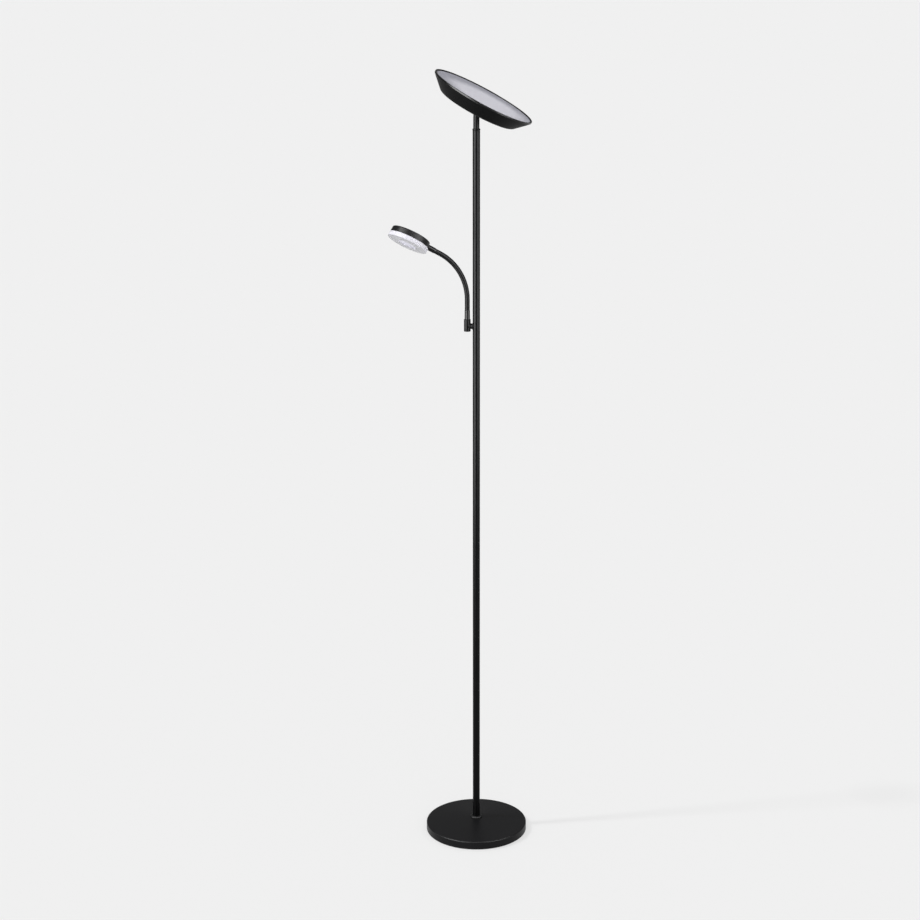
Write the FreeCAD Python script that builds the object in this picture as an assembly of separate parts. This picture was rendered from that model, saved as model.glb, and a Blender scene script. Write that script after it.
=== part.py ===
import FreeCAD, Part
import math
import os
from FreeCAD import Placement, Rotation, Vector

# Torchiere floor lamp with a reading light on a flexible arm.
# Millimetres, +Z up. The origin is the middle of the base on the floor.
# The bowl tilts towards +X, and the socket of the reading arm stands on the -X side of the pole.

# Fits
press_fit = 0.0
running_fit = 0.06
seat_gap = 0.3
saddle_gap = 0.1

# Base
base_radius = 115.0
base_edge_height = 19.2
base_seat_height = 27.9
base_seat_radius = 14.0
base_edge_round = 2.5
base_wall = 1.2
base_lip_height = 1.5
pad_thickness = 2.5
pad_inset = 2.5
pad_edge_round = 0.6
weight_headroom = 3.0
weight_clearance = 1.0
weight_foot_round = 1.0
weight_top_round = 2.0
hub_radius = 22.0
hub_round = 2.0
nut_pocket_radius = 13.0
nut_pocket_depth = 16.7

# Threaded stud and nipples
thread_radius = 5.0
thread_bore_radius = 3.5
stud_above_foot = 16.0
stud_nut_flats = 14.0
stud_nut_height = 4.0
stud_below_nut = 0.6
stud_washer_radius = 12.0
stud_washer_thickness = 1.2
insert_length = 14.0
insert_recess = 0.5
nipple_reach = 13.0

# Pole
pole_radius = 8.0
pole_wall = 1.0
lower_tube_length = 570.6
middle_tube_length = 588.0
upper_tube_length = 409.0
cap_overhang = 0.4
cap_height = 4.0
cap_round = 1.2

# Foot collar
collar_wall = 5.4
collar_height = 4.4
collar_floor = 1.5
collar_round = 3.0

# Supply cable inside, and its grommet at the back of the base
cable_radius = 2.2
cable_height = 6.2
cable_bend_radius = 7.0
grommet_bore_radius = 2.3
grommet_neck_radius = 4.0
grommet_flange_radius = 5.4
grommet_flange_thickness = 1.6
grommet_round = 0.8
grommet_pocket_width = 13.0
grommet_pocket_depth = 5.0
cable_groove_width = 6.0

# Neck and its fork
neck_length = 37.2
neck_radius = 6.6
neck_bore_radius = 3.2
neck_nipple_length = 11.5
bowl_tilt = 28.35
fork_gap = 6.4
fork_width = 11.2
fork_shoulder = 7.3
fork_depth = 12.0
hinge_bolt_radius = 2.0

# Arm stub and socket
stub_below_seam = 8.5
stub_length = 4.75
stub_waist_radius = 5.9
stub_pole_flare = 1.9
stub_socket_flare = 1.1
stub_sink = 3.0
stub_screw_radius = 3.0
stub_screw_bore_radius = 1.6
stub_screw_head_radius = 4.0
stub_screw_head_height = 2.0
anchor_below_stub = 13.0
anchor_spigot_length = 12.0
anchor_bore_radius = 3.0
socket_below_stub = 11.5
socket_above_stub = 14.6
socket_wall = 1.65
socket_web = 5.6
socket_round = 0.5
socket_cap_thickness = 1.5
socket_cap_round = 0.6
socket_plug_length = 2.5

# Turning ferrule of the arm
arm_swivel_rest = 24.0
ferrule_foot_radius = 5.95
ferrule_top_radius = 5.7
ferrule_length = 20.2
ferrule_round = 0.5
spindle_radius = 3.5
spindle_bore_radius = 2.0
spindle_end = 1.2
swivel_nut_flats = 9.0
swivel_nut_height = 2.4
swivel_nut_room = 0.4
swivel_washer_thickness = 0.8

# Gooseneck: a straight stretch, one round bend and a short straight end
gooseneck_radius = 5.5
gooseneck_straight = 22.8
gooseneck_bend_radius = 115.5
gooseneck_bend_angle = 61.1
gooseneck_end_straight = 11.8
gooseneck_links = 6
link_wall = 1.2
link_neck_radius = 2.7
link_bore_radius = 1.4
link_bend_limit = 25.0

# Reading light, in its own frame: X away from the arm, Z up through its back
reading_roll = 12.6
head_ferrule_length = 16.3
head_ferrule_radius = 6.0
head_ferrule_flare = 2.5
head_saddle_depth = 2.2
head_spigot_radius = 3.0
head_spigot_length = 6.4
ferrule_nut_flats = 7.0
ferrule_nut_height = 2.4
ferrule_nut_room = 0.5
reading_face = -15.8
reading_border = -5.4
reading_back = 8.0
reading_border_radius = 44.2
reading_draft = 1.0
reading_back_round = 2.5
reading_wall = 1.5
diffuser_overhang = 0.3
diffuser_flare = 0.6
diffuser_face_round = 1.8
diffuser_inner_round = 1.0
diffuser_side_wall = 2.1
diffuser_face_wall = 1.8
diffuser_lip_height = 3.0
diffuser_lip_wall = 1.5
lens_radius = 20.5
lens_recess = 1.0
lens_round = 0.3
lens_flange_width = 2.0
lens_thickness = 1.2
reading_plate_margin = 2.7
reading_plate_thickness = 1.6
reading_plate_height = -3.0
reading_board_margin = 1.5
reading_board_thickness = 1.4
reading_boss_count = 3
reading_boss_start = 60.0
reading_boss_circle = 26.0
reading_boss_radius = 3.0
reading_screw_radius = 1.5
reading_screw_head_radius = 2.6
reading_screw_head_height = 1.4
reading_screw_depth = 4.5
reading_outer_chips = 18
reading_outer_chip_border = 5.5
reading_inner_chips = 10
reading_inner_chip_circle = 18.0

# Uplighter bowl, in its own frame: the origin on the hinge pin, Z up through the rim
rim_radius = 114.5
rim_height = 34.7
rim_land = 3.8
rim_land_round = 2.0
rim_lip_width = 1.9
rim_round = 0.9
bowl_corner_inset = 28.7
bowl_corner_height = 2.9
bowl_corner_round = 14.3
bowl_floor_radius = 26.0
bowl_floor_round = 30.0
bowl_floor_drop = 5.5
bowl_wall = 1.0
slot_half_length = 15.4
slot_round = 2.0
slot_clearance = 0.4
trim_thickness = 1.0
trim_width = 3.2
trim_clearance = 0.1
bowl_diffuser_thickness = 2.0
light_room = 6.8
led_plate_inset = 17.5
led_plate_thickness = 1.5
led_plate_hole_radius = 12.0
led_board_thickness = 1.6
led_board_border = 4.0
led_board_inner_radius = 26.0
standoff_radius = 4.0
standoff_circle = 60.0
plate_screw_start = 45.0
plate_screw_radius = 1.9
plate_screw_head_radius = 3.6
plate_screw_head_height = 2.2
plate_screw_depth = 9.0
plate_screw_count = 4
chip_length = 3.5
chip_width = 2.8
chip_height = 0.8
outer_chips = 40
middle_chips = 28
inner_chips = 16
outer_chip_border = 8.0
middle_chip_border = 23.0
inner_chip_border = 10.0
driver_length = 60.0
driver_width = 44.0
driver_height = 15.0
driver_near_side = 16.0
driver_edge_round = 3.0
driver_foot_length = 7.0
driver_foot_thickness = 2.0
driver_foot_width = 14.0
driver_screw_radius = 1.5
driver_screw_head_radius = 2.7
driver_screw_head_height = 1.6
driver_screw_room = 0.5
driver_screw_tip = 1.0
terminal_near_side = 28.0
terminal_length = 24.0
terminal_width = 17.0
terminal_height = 9.0
terminal_bore_radius = 2.0
terminal_ways = 3

# Hinge bracket inside the bowl
bracket_ear_thickness = 2.2
bracket_half_length = 12.0
bracket_tab_radius = 6.4
bracket_crown_height = 8.4
bracket_crown_thickness = 2.0
bracket_crown_hole_radius = 3.0
bracket_flange_width = 10.0
bracket_flange_thickness = 2.0
bracket_flange_inner = 6.5
hinge_head_radius = 3.6
hinge_head_height = 2.4
hinge_nut_flats = 7.0
hinge_nut_height = 3.2
hinge_bolt_end = 1.0
hinge_washer_radius = 5.4
hinge_washer_thickness = 1.24
rivet_radius = 1.5
rivet_head_radius = 2.5
rivet_head_height = 0.9

UP = Vector(0, 0, 1)
ALONG_X = Vector(1, 0, 0)
ALONG_Y = Vector(0, 1, 0)


# Outlines

def offset_corners(corners, wall):
    """The open outline of (radius, height, rounding) corners, moved to its left by the wall."""
    points = [Vector(x, y, 0) for x, y, _ in corners]
    legs = [(b - a).normalize() for a, b in zip(points, points[1:])]
    normals = [Vector(-leg.y, leg.x, 0) for leg in legs]
    moved = [points[0] + normals[0] * wall]
    rounds = [0.0]
    for i in range(1, len(points) - 1):
        before, after = normals[i - 1], normals[i]
        moved.append(points[i] + (before + after) * (wall / (1 + before.dot(after))))
        left_turn = legs[i - 1].x * legs[i].y - legs[i - 1].y * legs[i].x > 0
        rounding = corners[i][2]
        change = -wall if left_turn else wall
        rounds.append(max(rounding + change, 0.0) if rounding else 0.0)
    moved.append(points[-1] + normals[-1] * wall)
    rounds.append(0.0)
    return [(p.x, p.y, r) for p, r in zip(moved, rounds)]


def corner_arc(before, corner, after, rounding):
    """Start, middle and end of the arc that rounds a corner."""
    to_before = (before - corner).normalize()
    to_after = (after - corner).normalize()
    half = to_before.getAngle(to_after) / 2
    reach = rounding / math.tan(half)
    bisector = (to_before + to_after).normalize()
    centre = corner + bisector * (rounding / math.sin(half))
    return corner + to_before * reach, centre - bisector * rounding, corner + to_after * reach


def closed_face(corners):
    """A flat face in the XZ plane inside a closed outline of (x, z, rounding) corners."""
    points = [Vector(x, 0, z) for x, z, _ in corners]
    count = len(points)
    edges = []
    spans = []
    for i in range(count):
        rounding = corners[i][2]
        if rounding > 0:
            spans.append(corner_arc(points[i - 1], points[i], points[(i + 1) % count], rounding))
        else:
            spans.append((points[i], None, points[i]))
    for i in range(count):
        start, middle, end = spans[i]
        if middle is not None:
            edges.append(Part.Arc(start, middle, end).toShape())
        following = spans[(i + 1) % count][0]
        if (following - end).Length > 1e-6:
            edges.append(Part.makeLine(end, following))
    return Part.Face(Part.Wire(edges))


def turned(corners):
    """A solid turned about Z from a closed outline of (radius, height, rounding) corners."""
    return closed_face(corners).revolve(Vector(0, 0, 0), UP, 360)


def turned_shell(corners, wall):
    """A turned shell with its outside on the outline and its wall to the outline's left."""
    inside = offset_corners(corners, wall)
    return turned(corners + inside[::-1])


# Plain shapes

def rod(radius, bottom, top, x=0.0, y=0.0):
    """An upright cylinder."""
    return Part.makeCylinder(radius, top - bottom, Vector(x, y, bottom))


def tube(outer, inner, bottom, top, x=0.0, y=0.0):
    """An upright tube."""
    return rod(outer, bottom, top, x, y).cut(rod(inner, bottom, top, x, y))


def rod_along(direction, radius, start, length):
    """A cylinder from a start point along a direction."""
    return Part.makeCylinder(radius, length, start, direction)


def block(x_range, y_range, z_range):
    """A box between low and high values on each axis."""
    size = [high - low for low, high in (x_range, y_range, z_range)]
    return Part.makeBox(*size, Vector(x_range[0], y_range[0], z_range[0]))


def hexagon(flats, bottom, top):
    """An upright hexagonal prism with its flats across X."""
    corner_radius = flats / math.sqrt(3)
    points = [Vector(corner_radius * math.cos(math.radians(30 + 60 * i)),
                     corner_radius * math.sin(math.radians(30 + 60 * i)), bottom) for i in range(7)]
    return Part.Face(Part.makePolygon(points)).extrude(Vector(0, 0, top - bottom))


def nut(flats, bore, bottom, top):
    """A hexagonal nut with chamfered corners."""
    corner_radius = flats / math.sqrt(3)
    chamfer = corner_radius - flats / 2
    crown = turned([(0, bottom, 0), (corner_radius - chamfer, bottom, 0),
                    (corner_radius, bottom + chamfer / 2, 0), (corner_radius, top - chamfer / 2, 0),
                    (corner_radius - chamfer, top, 0), (0, top, 0)])
    return hexagon(flats, bottom, top).common(crown).cut(rod(bore, bottom, top))


def around(count, radius, start=0.0):
    """Angles in degrees and centres of a ring of places."""
    for i in range(count):
        angle = start + 360.0 * i / count
        yield angle, radius * math.cos(math.radians(angle)), radius * math.sin(math.radians(angle))


def chip_ring(count, radius, bottom):
    """Light chips on a circle, each turned to face the middle."""
    chips = []
    for angle, x, y in around(count, radius):
        chip = block((-chip_length / 2, chip_length / 2), (-chip_width / 2, chip_width / 2),
                     (bottom, bottom + chip_height))
        chip.Placement = Placement(Vector(x, y, 0), Rotation(UP, angle))
        chips.append(chip)
    return chips


def placed(shape, placement):
    """A copy of a shape moved by a placement on top of its own."""
    moved = shape.copy()
    moved.Placement = placement.multiply(shape.Placement)
    return moved


# Heights and radii that follow from the sizes above

pole_foot = base_seat_height + collar_floor
lower_seam_height = pole_foot + lower_tube_length
upper_seam_height = lower_seam_height + middle_tube_length
pole_top_height = upper_seam_height + upper_tube_length
neck_bottom = pole_top_height + cap_height
hinge_height = neck_bottom + neck_length
stub_height = upper_seam_height - stub_below_seam
socket_bottom = stub_height - socket_below_stub
socket_top = stub_height + socket_above_stub
pole_bore = pole_radius - pole_wall
weight_radius = base_radius - base_wall - weight_clearance
weight_top = base_edge_height - base_wall - weight_headroom
pocket_ceiling = pad_thickness + nut_pocket_depth
stud_nut_top = pocket_ceiling - stud_washer_thickness
stud_nut_bottom = stud_nut_top - stud_nut_height
hub_top = base_seat_height - base_wall
base_slope = math.atan2(base_seat_height - base_edge_height, base_radius - base_seat_radius)
swivel_nut_radius = swivel_nut_flats / math.sqrt(3)
socket_cavity_radius = swivel_nut_radius + swivel_nut_room
socket_radius = socket_cavity_radius + socket_wall
socket_offset = pole_radius + stub_length + socket_radius


# Base

def cover_outline():
    """Outside of the base cover, from its lower edge over the cone to the middle hole."""
    return [(base_radius, base_lip_height, 0), (base_radius, base_edge_height, base_edge_round),
            (base_seat_radius, base_seat_height, 0), (thread_radius, base_seat_height, 0)]


def base_cover():
    """The pressed cover, with the grommet hole at the back."""
    hole = rod_along(ALONG_Y, grommet_neck_radius, Vector(0, 0, cable_height), base_radius + 1)
    return turned_shell(cover_outline(), base_wall).cut(hole)


def under_cover(radius):
    """Height of the cover's underside at a radius outside its seat."""
    top = base_seat_height - (radius - base_seat_radius) * math.tan(base_slope)
    return top - base_wall / math.cos(base_slope)


def base_weight():
    """The cast weight: a disc and a hub that holds up the cover, hollow for the nut and cable."""
    hub_edge = under_cover(hub_radius)
    seat_radius = base_seat_radius - base_wall
    body = turned([(0, pad_thickness, 0), (weight_radius, pad_thickness, weight_foot_round),
                   (weight_radius, weight_top, weight_top_round), (hub_radius, weight_top, hub_round),
                   (hub_radius, hub_edge, 0), (seat_radius, hub_edge, 0),
                   (seat_radius, hub_top, 0), (0, hub_top, 0)])
    body = body.cut(rod(nut_pocket_radius, pad_thickness, pocket_ceiling))
    body = body.cut(rod(thread_radius, pocket_ceiling, hub_top))
    groove_top = cable_height + cable_groove_width / 2
    groove = block((-cable_groove_width / 2, cable_groove_width / 2), (0, weight_radius),
                   (pad_thickness, groove_top))
    pocket = block((-grommet_pocket_width / 2, grommet_pocket_width / 2),
                   (weight_radius - grommet_pocket_depth, weight_radius + 1),
                   (pad_thickness, cable_height + grommet_flange_radius + 1))
    return body.cut(groove).cut(pocket)


def base_pad():
    """The foam disc that the base stands on."""
    outer = base_radius - base_wall - pad_inset
    return turned([(0, 0, 0), (outer, 0, pad_edge_round), (outer, pad_thickness, 0),
                   (0, pad_thickness, 0)])


def base_stud():
    """The hollow stud through the weight and cover into the foot of the pole."""
    return tube(thread_radius, thread_bore_radius, stud_nut_bottom - stud_below_nut,
                pole_foot + stud_above_foot)


def stud_washer():
    """The washer above the nut."""
    return tube(stud_washer_radius, thread_radius, stud_nut_top, pocket_ceiling)


def stud_nut():
    """The nut under the weight."""
    return nut(stud_nut_flats, thread_radius, stud_nut_bottom, stud_nut_top)


def foot_collar():
    """The cup-shaped collar that the lowest tube stands in."""
    top = base_seat_height + collar_height
    collar_radius = pole_radius + collar_wall
    return turned([(thread_radius, base_seat_height, 0), (collar_radius, base_seat_height, 0),
                   (collar_radius, top, collar_round), (pole_radius, top, 0),
                   (pole_radius, pole_foot, 0), (thread_radius, pole_foot, 0)])


def cord_grommet():
    """The rubber grommet in the cover's side wall, where the supply cord enters."""
    outer_face = base_radius
    flange_sag = base_radius - math.sqrt(base_radius ** 2 - grommet_flange_radius ** 2)
    inner_face = base_radius - base_wall - 2 * flange_sag
    start = inner_face - grommet_flange_thickness
    end = outer_face + grommet_flange_thickness
    neck = rod_along(ALONG_Y, grommet_neck_radius, Vector(0, start, cable_height), end - start)
    inner = rod_along(ALONG_Y, grommet_flange_radius, Vector(0, start, cable_height),
                      grommet_flange_thickness)
    outer = rod_along(ALONG_Y, grommet_flange_radius, Vector(0, outer_face, cable_height),
                      grommet_flange_thickness)
    bore = rod_along(ALONG_Y, grommet_bore_radius, Vector(0, start, cable_height), end - start)
    body = neck.fuse(inner).fuse(outer)
    rims = [e for e in body.Edges if abs(e.Vertexes[0].Y - end) < 1e-6]
    return body.makeFillet(grommet_round, rims).cut(bore)


# Pole

def pole_tube(bottom, top):
    """One length of pole tube."""
    return tube(pole_radius, pole_bore, bottom, top)


def stub_hole():
    """The hole that the stub's screw passes through, from the socket into the anchor."""
    start = Vector(-socket_offset, 0, stub_height)
    return rod_along(ALONG_X, stub_screw_radius, start, socket_offset)


def pole_middle():
    """The middle tube, drilled for the arm's screw near its top."""
    return pole_tube(lower_seam_height, upper_seam_height).cut(stub_hole())


def pole_insert(bottom):
    """A threaded insert pressed into a tube end."""
    return tube(pole_bore - press_fit, thread_radius, bottom, bottom + insert_length)


def pole_inserts():
    """The inserts at the foot, at both seams and at the top."""
    tops = (lower_seam_height, pole_top_height)
    bottoms = (pole_foot, lower_seam_height, upper_seam_height)
    lengths = [pole_insert(top - insert_recess - insert_length) for top in tops]
    lengths += [pole_insert(bottom + insert_recess) for bottom in bottoms]
    return Part.makeCompound(lengths)


def pole_nipples():
    """The hollow nipples that join the lower tubes, and the neck to the top tube."""
    seam = tube(thread_radius, thread_bore_radius, lower_seam_height - nipple_reach,
                lower_seam_height + nipple_reach)
    top = tube(thread_radius, thread_bore_radius, pole_top_height - nipple_reach,
               neck_bottom + neck_nipple_length)
    return Part.makeCompound([seam, top])


def arm_anchor():
    """The plug in the top of the middle tube: it carries the arm and screws into the top tube."""
    body_top = upper_seam_height - insert_recess
    body = rod(pole_bore, stub_height - anchor_below_stub, body_top)
    spigot = rod(thread_radius, body_top, body_top + anchor_spigot_length)
    bore = rod(anchor_bore_radius, stub_height - anchor_below_stub, body_top + anchor_spigot_length)
    return body.fuse(spigot).cut(bore).cut(stub_hole())


def pole_cap():
    """The bead on top of the pole."""
    cap_radius = pole_radius + cap_overhang
    return turned([(thread_radius, pole_top_height, 0), (cap_radius, pole_top_height, cap_round),
                   (cap_radius, neck_bottom, cap_round), (thread_radius, neck_bottom, 0)])


def feed_cable():
    """The cable from the grommet along the weight's groove and up the pole into the neck."""
    start = Vector(0, weight_radius - grommet_pocket_depth, cable_height)
    bend_start = Vector(0, cable_bend_radius, cable_height)
    bend_end = Vector(0, 0, cable_height + cable_bend_radius)
    share = cable_bend_radius * (1 - math.cos(math.radians(45)))
    bend_middle = Vector(0, share, cable_height + share)
    end = Vector(0, 0, hinge_height - fork_depth)
    path = Part.Wire([Part.LineSegment(start, bend_start).toShape(),
                      Part.Arc(bend_start, bend_middle, bend_end).toShape(),
                      Part.LineSegment(bend_end, end).toShape()])
    section = Part.Wire(Part.Circle(start, ALONG_Y, cable_radius).toShape())
    return path.makePipeShell([section], True, True)


# Neck

def hinge_neck():
    """The neck: round below, with a forked and flattened top around the hinge pin."""
    top = hinge_height + neck_radius
    pin_centre = Vector(0, -neck_radius, hinge_height)
    rounded_top = rod_along(ALONG_Y, neck_radius, pin_centre, 2 * neck_radius)
    below = rod(2 * neck_radius, neck_bottom, hinge_height)
    body = rod(neck_radius, neck_bottom, top).common(below.fuse(rounded_top))
    shoulder = hinge_height - fork_shoulder
    wide = (-2 * neck_radius, 2 * neck_radius)
    for side in (-1, 1):
        flat = sorted((side * fork_width / 2, side * 2 * neck_radius))
        body = body.cut(block(wide, flat, (shoulder, top + 1)))
    gap_bottom = hinge_height - fork_depth
    body = body.cut(block(wide, (-fork_gap / 2, fork_gap / 2), (gap_bottom, top + 1)))
    body = body.cut(rod(neck_bore_radius, neck_bottom, gap_bottom))
    body = body.cut(rod(thread_radius, neck_bottom, neck_bottom + neck_nipple_length))
    pin_hole = rod_along(ALONG_Y, hinge_bolt_radius + running_fit, pin_centre, 2 * neck_radius)
    return body.cut(pin_hole)


# Arm stub and socket

def arm_stub():
    """The waisted spacer between the pole and the socket."""
    near = -pole_radius
    far = -socket_offset + socket_radius
    pole_end = stub_waist_radius + stub_pole_flare
    socket_end = stub_waist_radius + stub_socket_flare
    outline = [(0, -near - stub_sink, 0), (pole_end, -near - stub_sink, 0), (pole_end, -near, 0),
               (stub_waist_radius, -near, stub_pole_flare), (stub_waist_radius, -far, stub_socket_flare),
               (socket_end, -far, 0), (socket_end, -far + stub_sink, 0), (0, -far + stub_sink, 0)]
    spool = turned(outline)
    to_side = Placement(Vector(0, 0, stub_height), Rotation(ALONG_Y, -90))
    spool = placed(spool, to_side)
    low, high = stub_height - pole_end, stub_height + pole_end
    spool = spool.cut(rod(pole_radius, low, high))
    spool = spool.cut(rod(socket_radius, low, high, -socket_offset))
    return spool.cut(stub_hole())


def arm_socket():
    """The upright socket: a hollow barrel with a web that the arm's spindle turns in."""
    wall_bottom = socket_bottom + socket_cap_thickness
    web_bottom = socket_top - socket_web
    body = rod(socket_radius, wall_bottom, socket_top, -socket_offset)
    body = body.cut(rod(socket_cavity_radius, wall_bottom, web_bottom, -socket_offset))
    bore = rod(spindle_radius + running_fit, web_bottom, socket_top, -socket_offset)
    rims = [e for e in body.Edges if len(e.Vertexes) == 1 and abs(e.BoundBox.ZMax - socket_top) < 1e-6]
    return body.makeFillet(socket_round, rims).cut(bore).cut(stub_hole())


def socket_cap():
    """The cap that closes the socket from below."""
    flange_top = socket_bottom + socket_cap_thickness
    plug_top = flange_top + socket_plug_length
    cap = turned([(0, socket_bottom, 0), (socket_radius, socket_bottom, socket_cap_round),
                  (socket_radius, flange_top, 0), (socket_cavity_radius, flange_top, 0),
                  (socket_cavity_radius, plug_top, 0), (0, plug_top, 0)])
    return placed(cap, Placement(Vector(-socket_offset, 0, 0), Rotation()))


def stub_screw():
    """The hollow screw from inside the socket through the stub into the anchor."""
    wall = math.sqrt(socket_cavity_radius ** 2 - stub_screw_head_radius ** 2)
    seat = -socket_offset + wall
    head = rod_along(ALONG_X, stub_screw_head_radius,
                     Vector(seat - stub_screw_head_height, 0, stub_height), stub_screw_head_height)
    length = -anchor_bore_radius - seat
    shank = rod_along(ALONG_X, stub_screw_radius, Vector(seat, 0, stub_height), length)
    bore = rod_along(ALONG_X, stub_screw_bore_radius,
                     Vector(seat - stub_screw_head_height, 0, stub_height),
                     length + stub_screw_head_height)
    return head.fuse(shank).cut(bore)


# Arm frame: X outwards along the arm, Z up, on the socket's axis

arm_frame = Placement(Vector(-socket_offset, 0, 0), Rotation(UP, 180 + arm_swivel_rest))
ferrule_bottom = socket_top + seat_gap
ferrule_top = ferrule_bottom + ferrule_length
bend_length = gooseneck_bend_radius * math.radians(gooseneck_bend_angle)
gooseneck_length = gooseneck_straight + bend_length + gooseneck_end_straight
link_length = gooseneck_length / gooseneck_links
link_rest_turn = math.degrees(link_length / gooseneck_bend_radius)
link_most_turn = math.radians(link_bend_limit + link_rest_turn)
shoulder_gap = gooseneck_radius * math.sin(link_most_turn) + seat_gap
link_ball_radius = gooseneck_radius - link_wall


def gooseneck_heading(distance):
    """Angle from upright, in radians, at a distance along the gooseneck's rest line."""
    round_part = min(max(distance - gooseneck_straight, 0.0), bend_length)
    return round_part / gooseneck_bend_radius


def gooseneck_point(distance):
    """Point in the arm frame at a distance along the gooseneck's rest line."""
    angle = gooseneck_heading(distance)
    before = min(distance, gooseneck_straight)
    beyond = max(distance - gooseneck_straight - bend_length, 0.0)
    out = gooseneck_bend_radius * (1 - math.cos(angle)) + beyond * math.sin(angle)
    up = before + gooseneck_bend_radius * math.sin(angle) + beyond * math.cos(angle)
    return Vector(out, 0, ferrule_top + up)


def joint_points():
    """The foot of the gooseneck, and then the centres of its ball joints."""
    return [gooseneck_point(link_length * i) for i in range(gooseneck_links + 1)]


def ball_stem(shoulder, centre):
    """A ball and its stem above a shoulder, on the Z axis."""
    ball = Part.makeSphere(link_ball_radius, Vector(0, 0, centre))
    return ball.fuse(rod(link_neck_radius, shoulder - link_wall, centre))


def arm_ferrule():
    """The tapered ferrule, with its spindle below."""
    web_bottom = socket_top - socket_web
    spindle_bottom = web_bottom - swivel_washer_thickness - swivel_nut_height - spindle_end
    body = turned([(0, ferrule_bottom, 0), (ferrule_foot_radius, ferrule_bottom, ferrule_round),
                   (ferrule_top_radius, ferrule_top, ferrule_round), (0, ferrule_top, 0)])
    spindle = rod(spindle_radius, spindle_bottom, ferrule_bottom)
    bore = rod(spindle_bore_radius, spindle_bottom, ferrule_top)
    return placed(body.fuse(spindle).cut(bore), arm_frame)


def swivel_washer():
    """The thin washer under the socket's web."""
    top = socket_top - socket_web - running_fit
    return placed(tube(swivel_nut_radius, spindle_radius, top - swivel_washer_thickness, top), arm_frame)


def swivel_nut():
    """The nut that keeps the spindle in the socket."""
    top = socket_top - socket_web - running_fit - swivel_washer_thickness
    return placed(nut(swivel_nut_flats, spindle_radius, top - swivel_nut_height, top), arm_frame)


def upright_at(start, end):
    """Placement that puts the Z axis on the line from one joint centre to the next."""
    return Placement(start, Rotation(UP, end - start))


def gooseneck_link(start, end):
    """One length of the gooseneck: a cup over the joint below, a ball in the joint above."""
    length = (end - start).Length
    shoulder = length - shoulder_gap
    body = rod(gooseneck_radius, 0, shoulder)
    body = body.cut(Part.makeSphere(link_ball_radius + running_fit))
    body = body.fuse(ball_stem(shoulder, length))
    bore = rod(link_bore_radius, 0, length + link_ball_radius)
    return placed(body.cut(bore), arm_frame.multiply(upright_at(start, end)))


def gooseneck_foot(start, end):
    """The lowest length of the gooseneck, which stands fast on the ferrule."""
    length = (end - start).Length
    shoulder = length - shoulder_gap
    foot = -gooseneck_radius
    body = rod(gooseneck_radius, foot, shoulder).fuse(ball_stem(shoulder, length))
    body = body.cut(rod(link_bore_radius, foot, length + link_ball_radius))
    body = placed(body, upright_at(start, end))
    body = body.cut(rod(2 * gooseneck_radius, ferrule_top + 2 * foot, ferrule_top))
    return placed(body, arm_frame)


# Reading light frame

reading_back_radius = reading_border_radius - reading_draft
reading_slope = math.atan2(reading_draft, reading_back - reading_border)
diffuser_top_radius = reading_border_radius + diffuser_overhang
diffuser_face_radius = diffuser_top_radius + diffuser_flare
reading_reach = diffuser_face_radius + 2 * saddle_gap


def reading_frame():
    """Placement of the reading light on the end of the gooseneck."""
    end = joint_points()[-1]
    pitch = 90 - gooseneck_bend_angle
    outwards = Vector(math.cos(math.radians(pitch)), 0, math.sin(math.radians(pitch)))
    centre = end + outwards * (head_ferrule_length + reading_reach)
    turn = Rotation(ALONG_Y, -pitch).multiply(Rotation(ALONG_X, reading_roll))
    return arm_frame.multiply(Placement(centre, turn))


def reading_outside(gap):
    """The room that the closed reading light takes up with a gap all round."""
    return turned([(0, reading_face, 0), (diffuser_face_radius + gap, reading_face, 0),
                   (diffuser_top_radius + gap, reading_border, 0),
                   (reading_border_radius + gap, reading_border, 0),
                   (reading_back_radius + gap, reading_back, 0), (0, reading_back, 0)])


def head_ferrule():
    """The upper ferrule: a cup over the last joint, a saddle on the light and a spigot into it."""
    seat = -reading_reach
    start = seat - head_ferrule_length
    saddle = seat + head_saddle_depth
    end = seat + head_spigot_length
    to_side = Placement(Vector(0, 0, 0), Rotation(ALONG_Y, 90))
    cup = turned([(0, start, 0), (gooseneck_radius, start, 0),
                  (head_ferrule_radius, start + head_ferrule_flare, ferrule_round),
                  (head_ferrule_radius, saddle, 0), (0, saddle, 0)])
    cup = cup.cut(Part.makeSphere(link_ball_radius + running_fit, Vector(0, 0, start)))
    body = placed(cup, to_side).cut(reading_outside(saddle_gap))
    body = body.fuse(placed(rod(head_spigot_radius, seat - head_saddle_depth, end), to_side))
    body = body.cut(placed(rod(link_bore_radius, start, end), to_side))
    return placed(body, reading_frame())


def reading_inside(height):
    """Radius of the inside of the light's housing at a height of its sloping wall."""
    outer = reading_border_radius - (height - reading_border) * math.tan(reading_slope)
    return outer - reading_wall / math.cos(reading_slope)


# Radii inside the housing

reading_plate_radius = reading_inside(reading_border) - diffuser_lip_wall - reading_plate_margin
reading_board_radius = reading_plate_radius - reading_board_margin


def boss_places():
    """Angles and centres of the housing's screw bosses."""
    return around(reading_boss_count, reading_boss_circle, reading_boss_start)


def ferrule_nut():
    """The nut that draws the spigot into the housing."""
    wall = reading_inside(ferrule_nut_flats / 2)
    corner_radius = ferrule_nut_flats / math.sqrt(3)
    start = -math.sqrt(wall ** 2 - (corner_radius / 2) ** 2)
    body = nut(ferrule_nut_flats, head_spigot_radius, start, start + ferrule_nut_height)
    return placed(body, reading_frame().multiply(Placement(Vector(0, 0, 0), Rotation(ALONG_Y, 90))))


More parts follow.
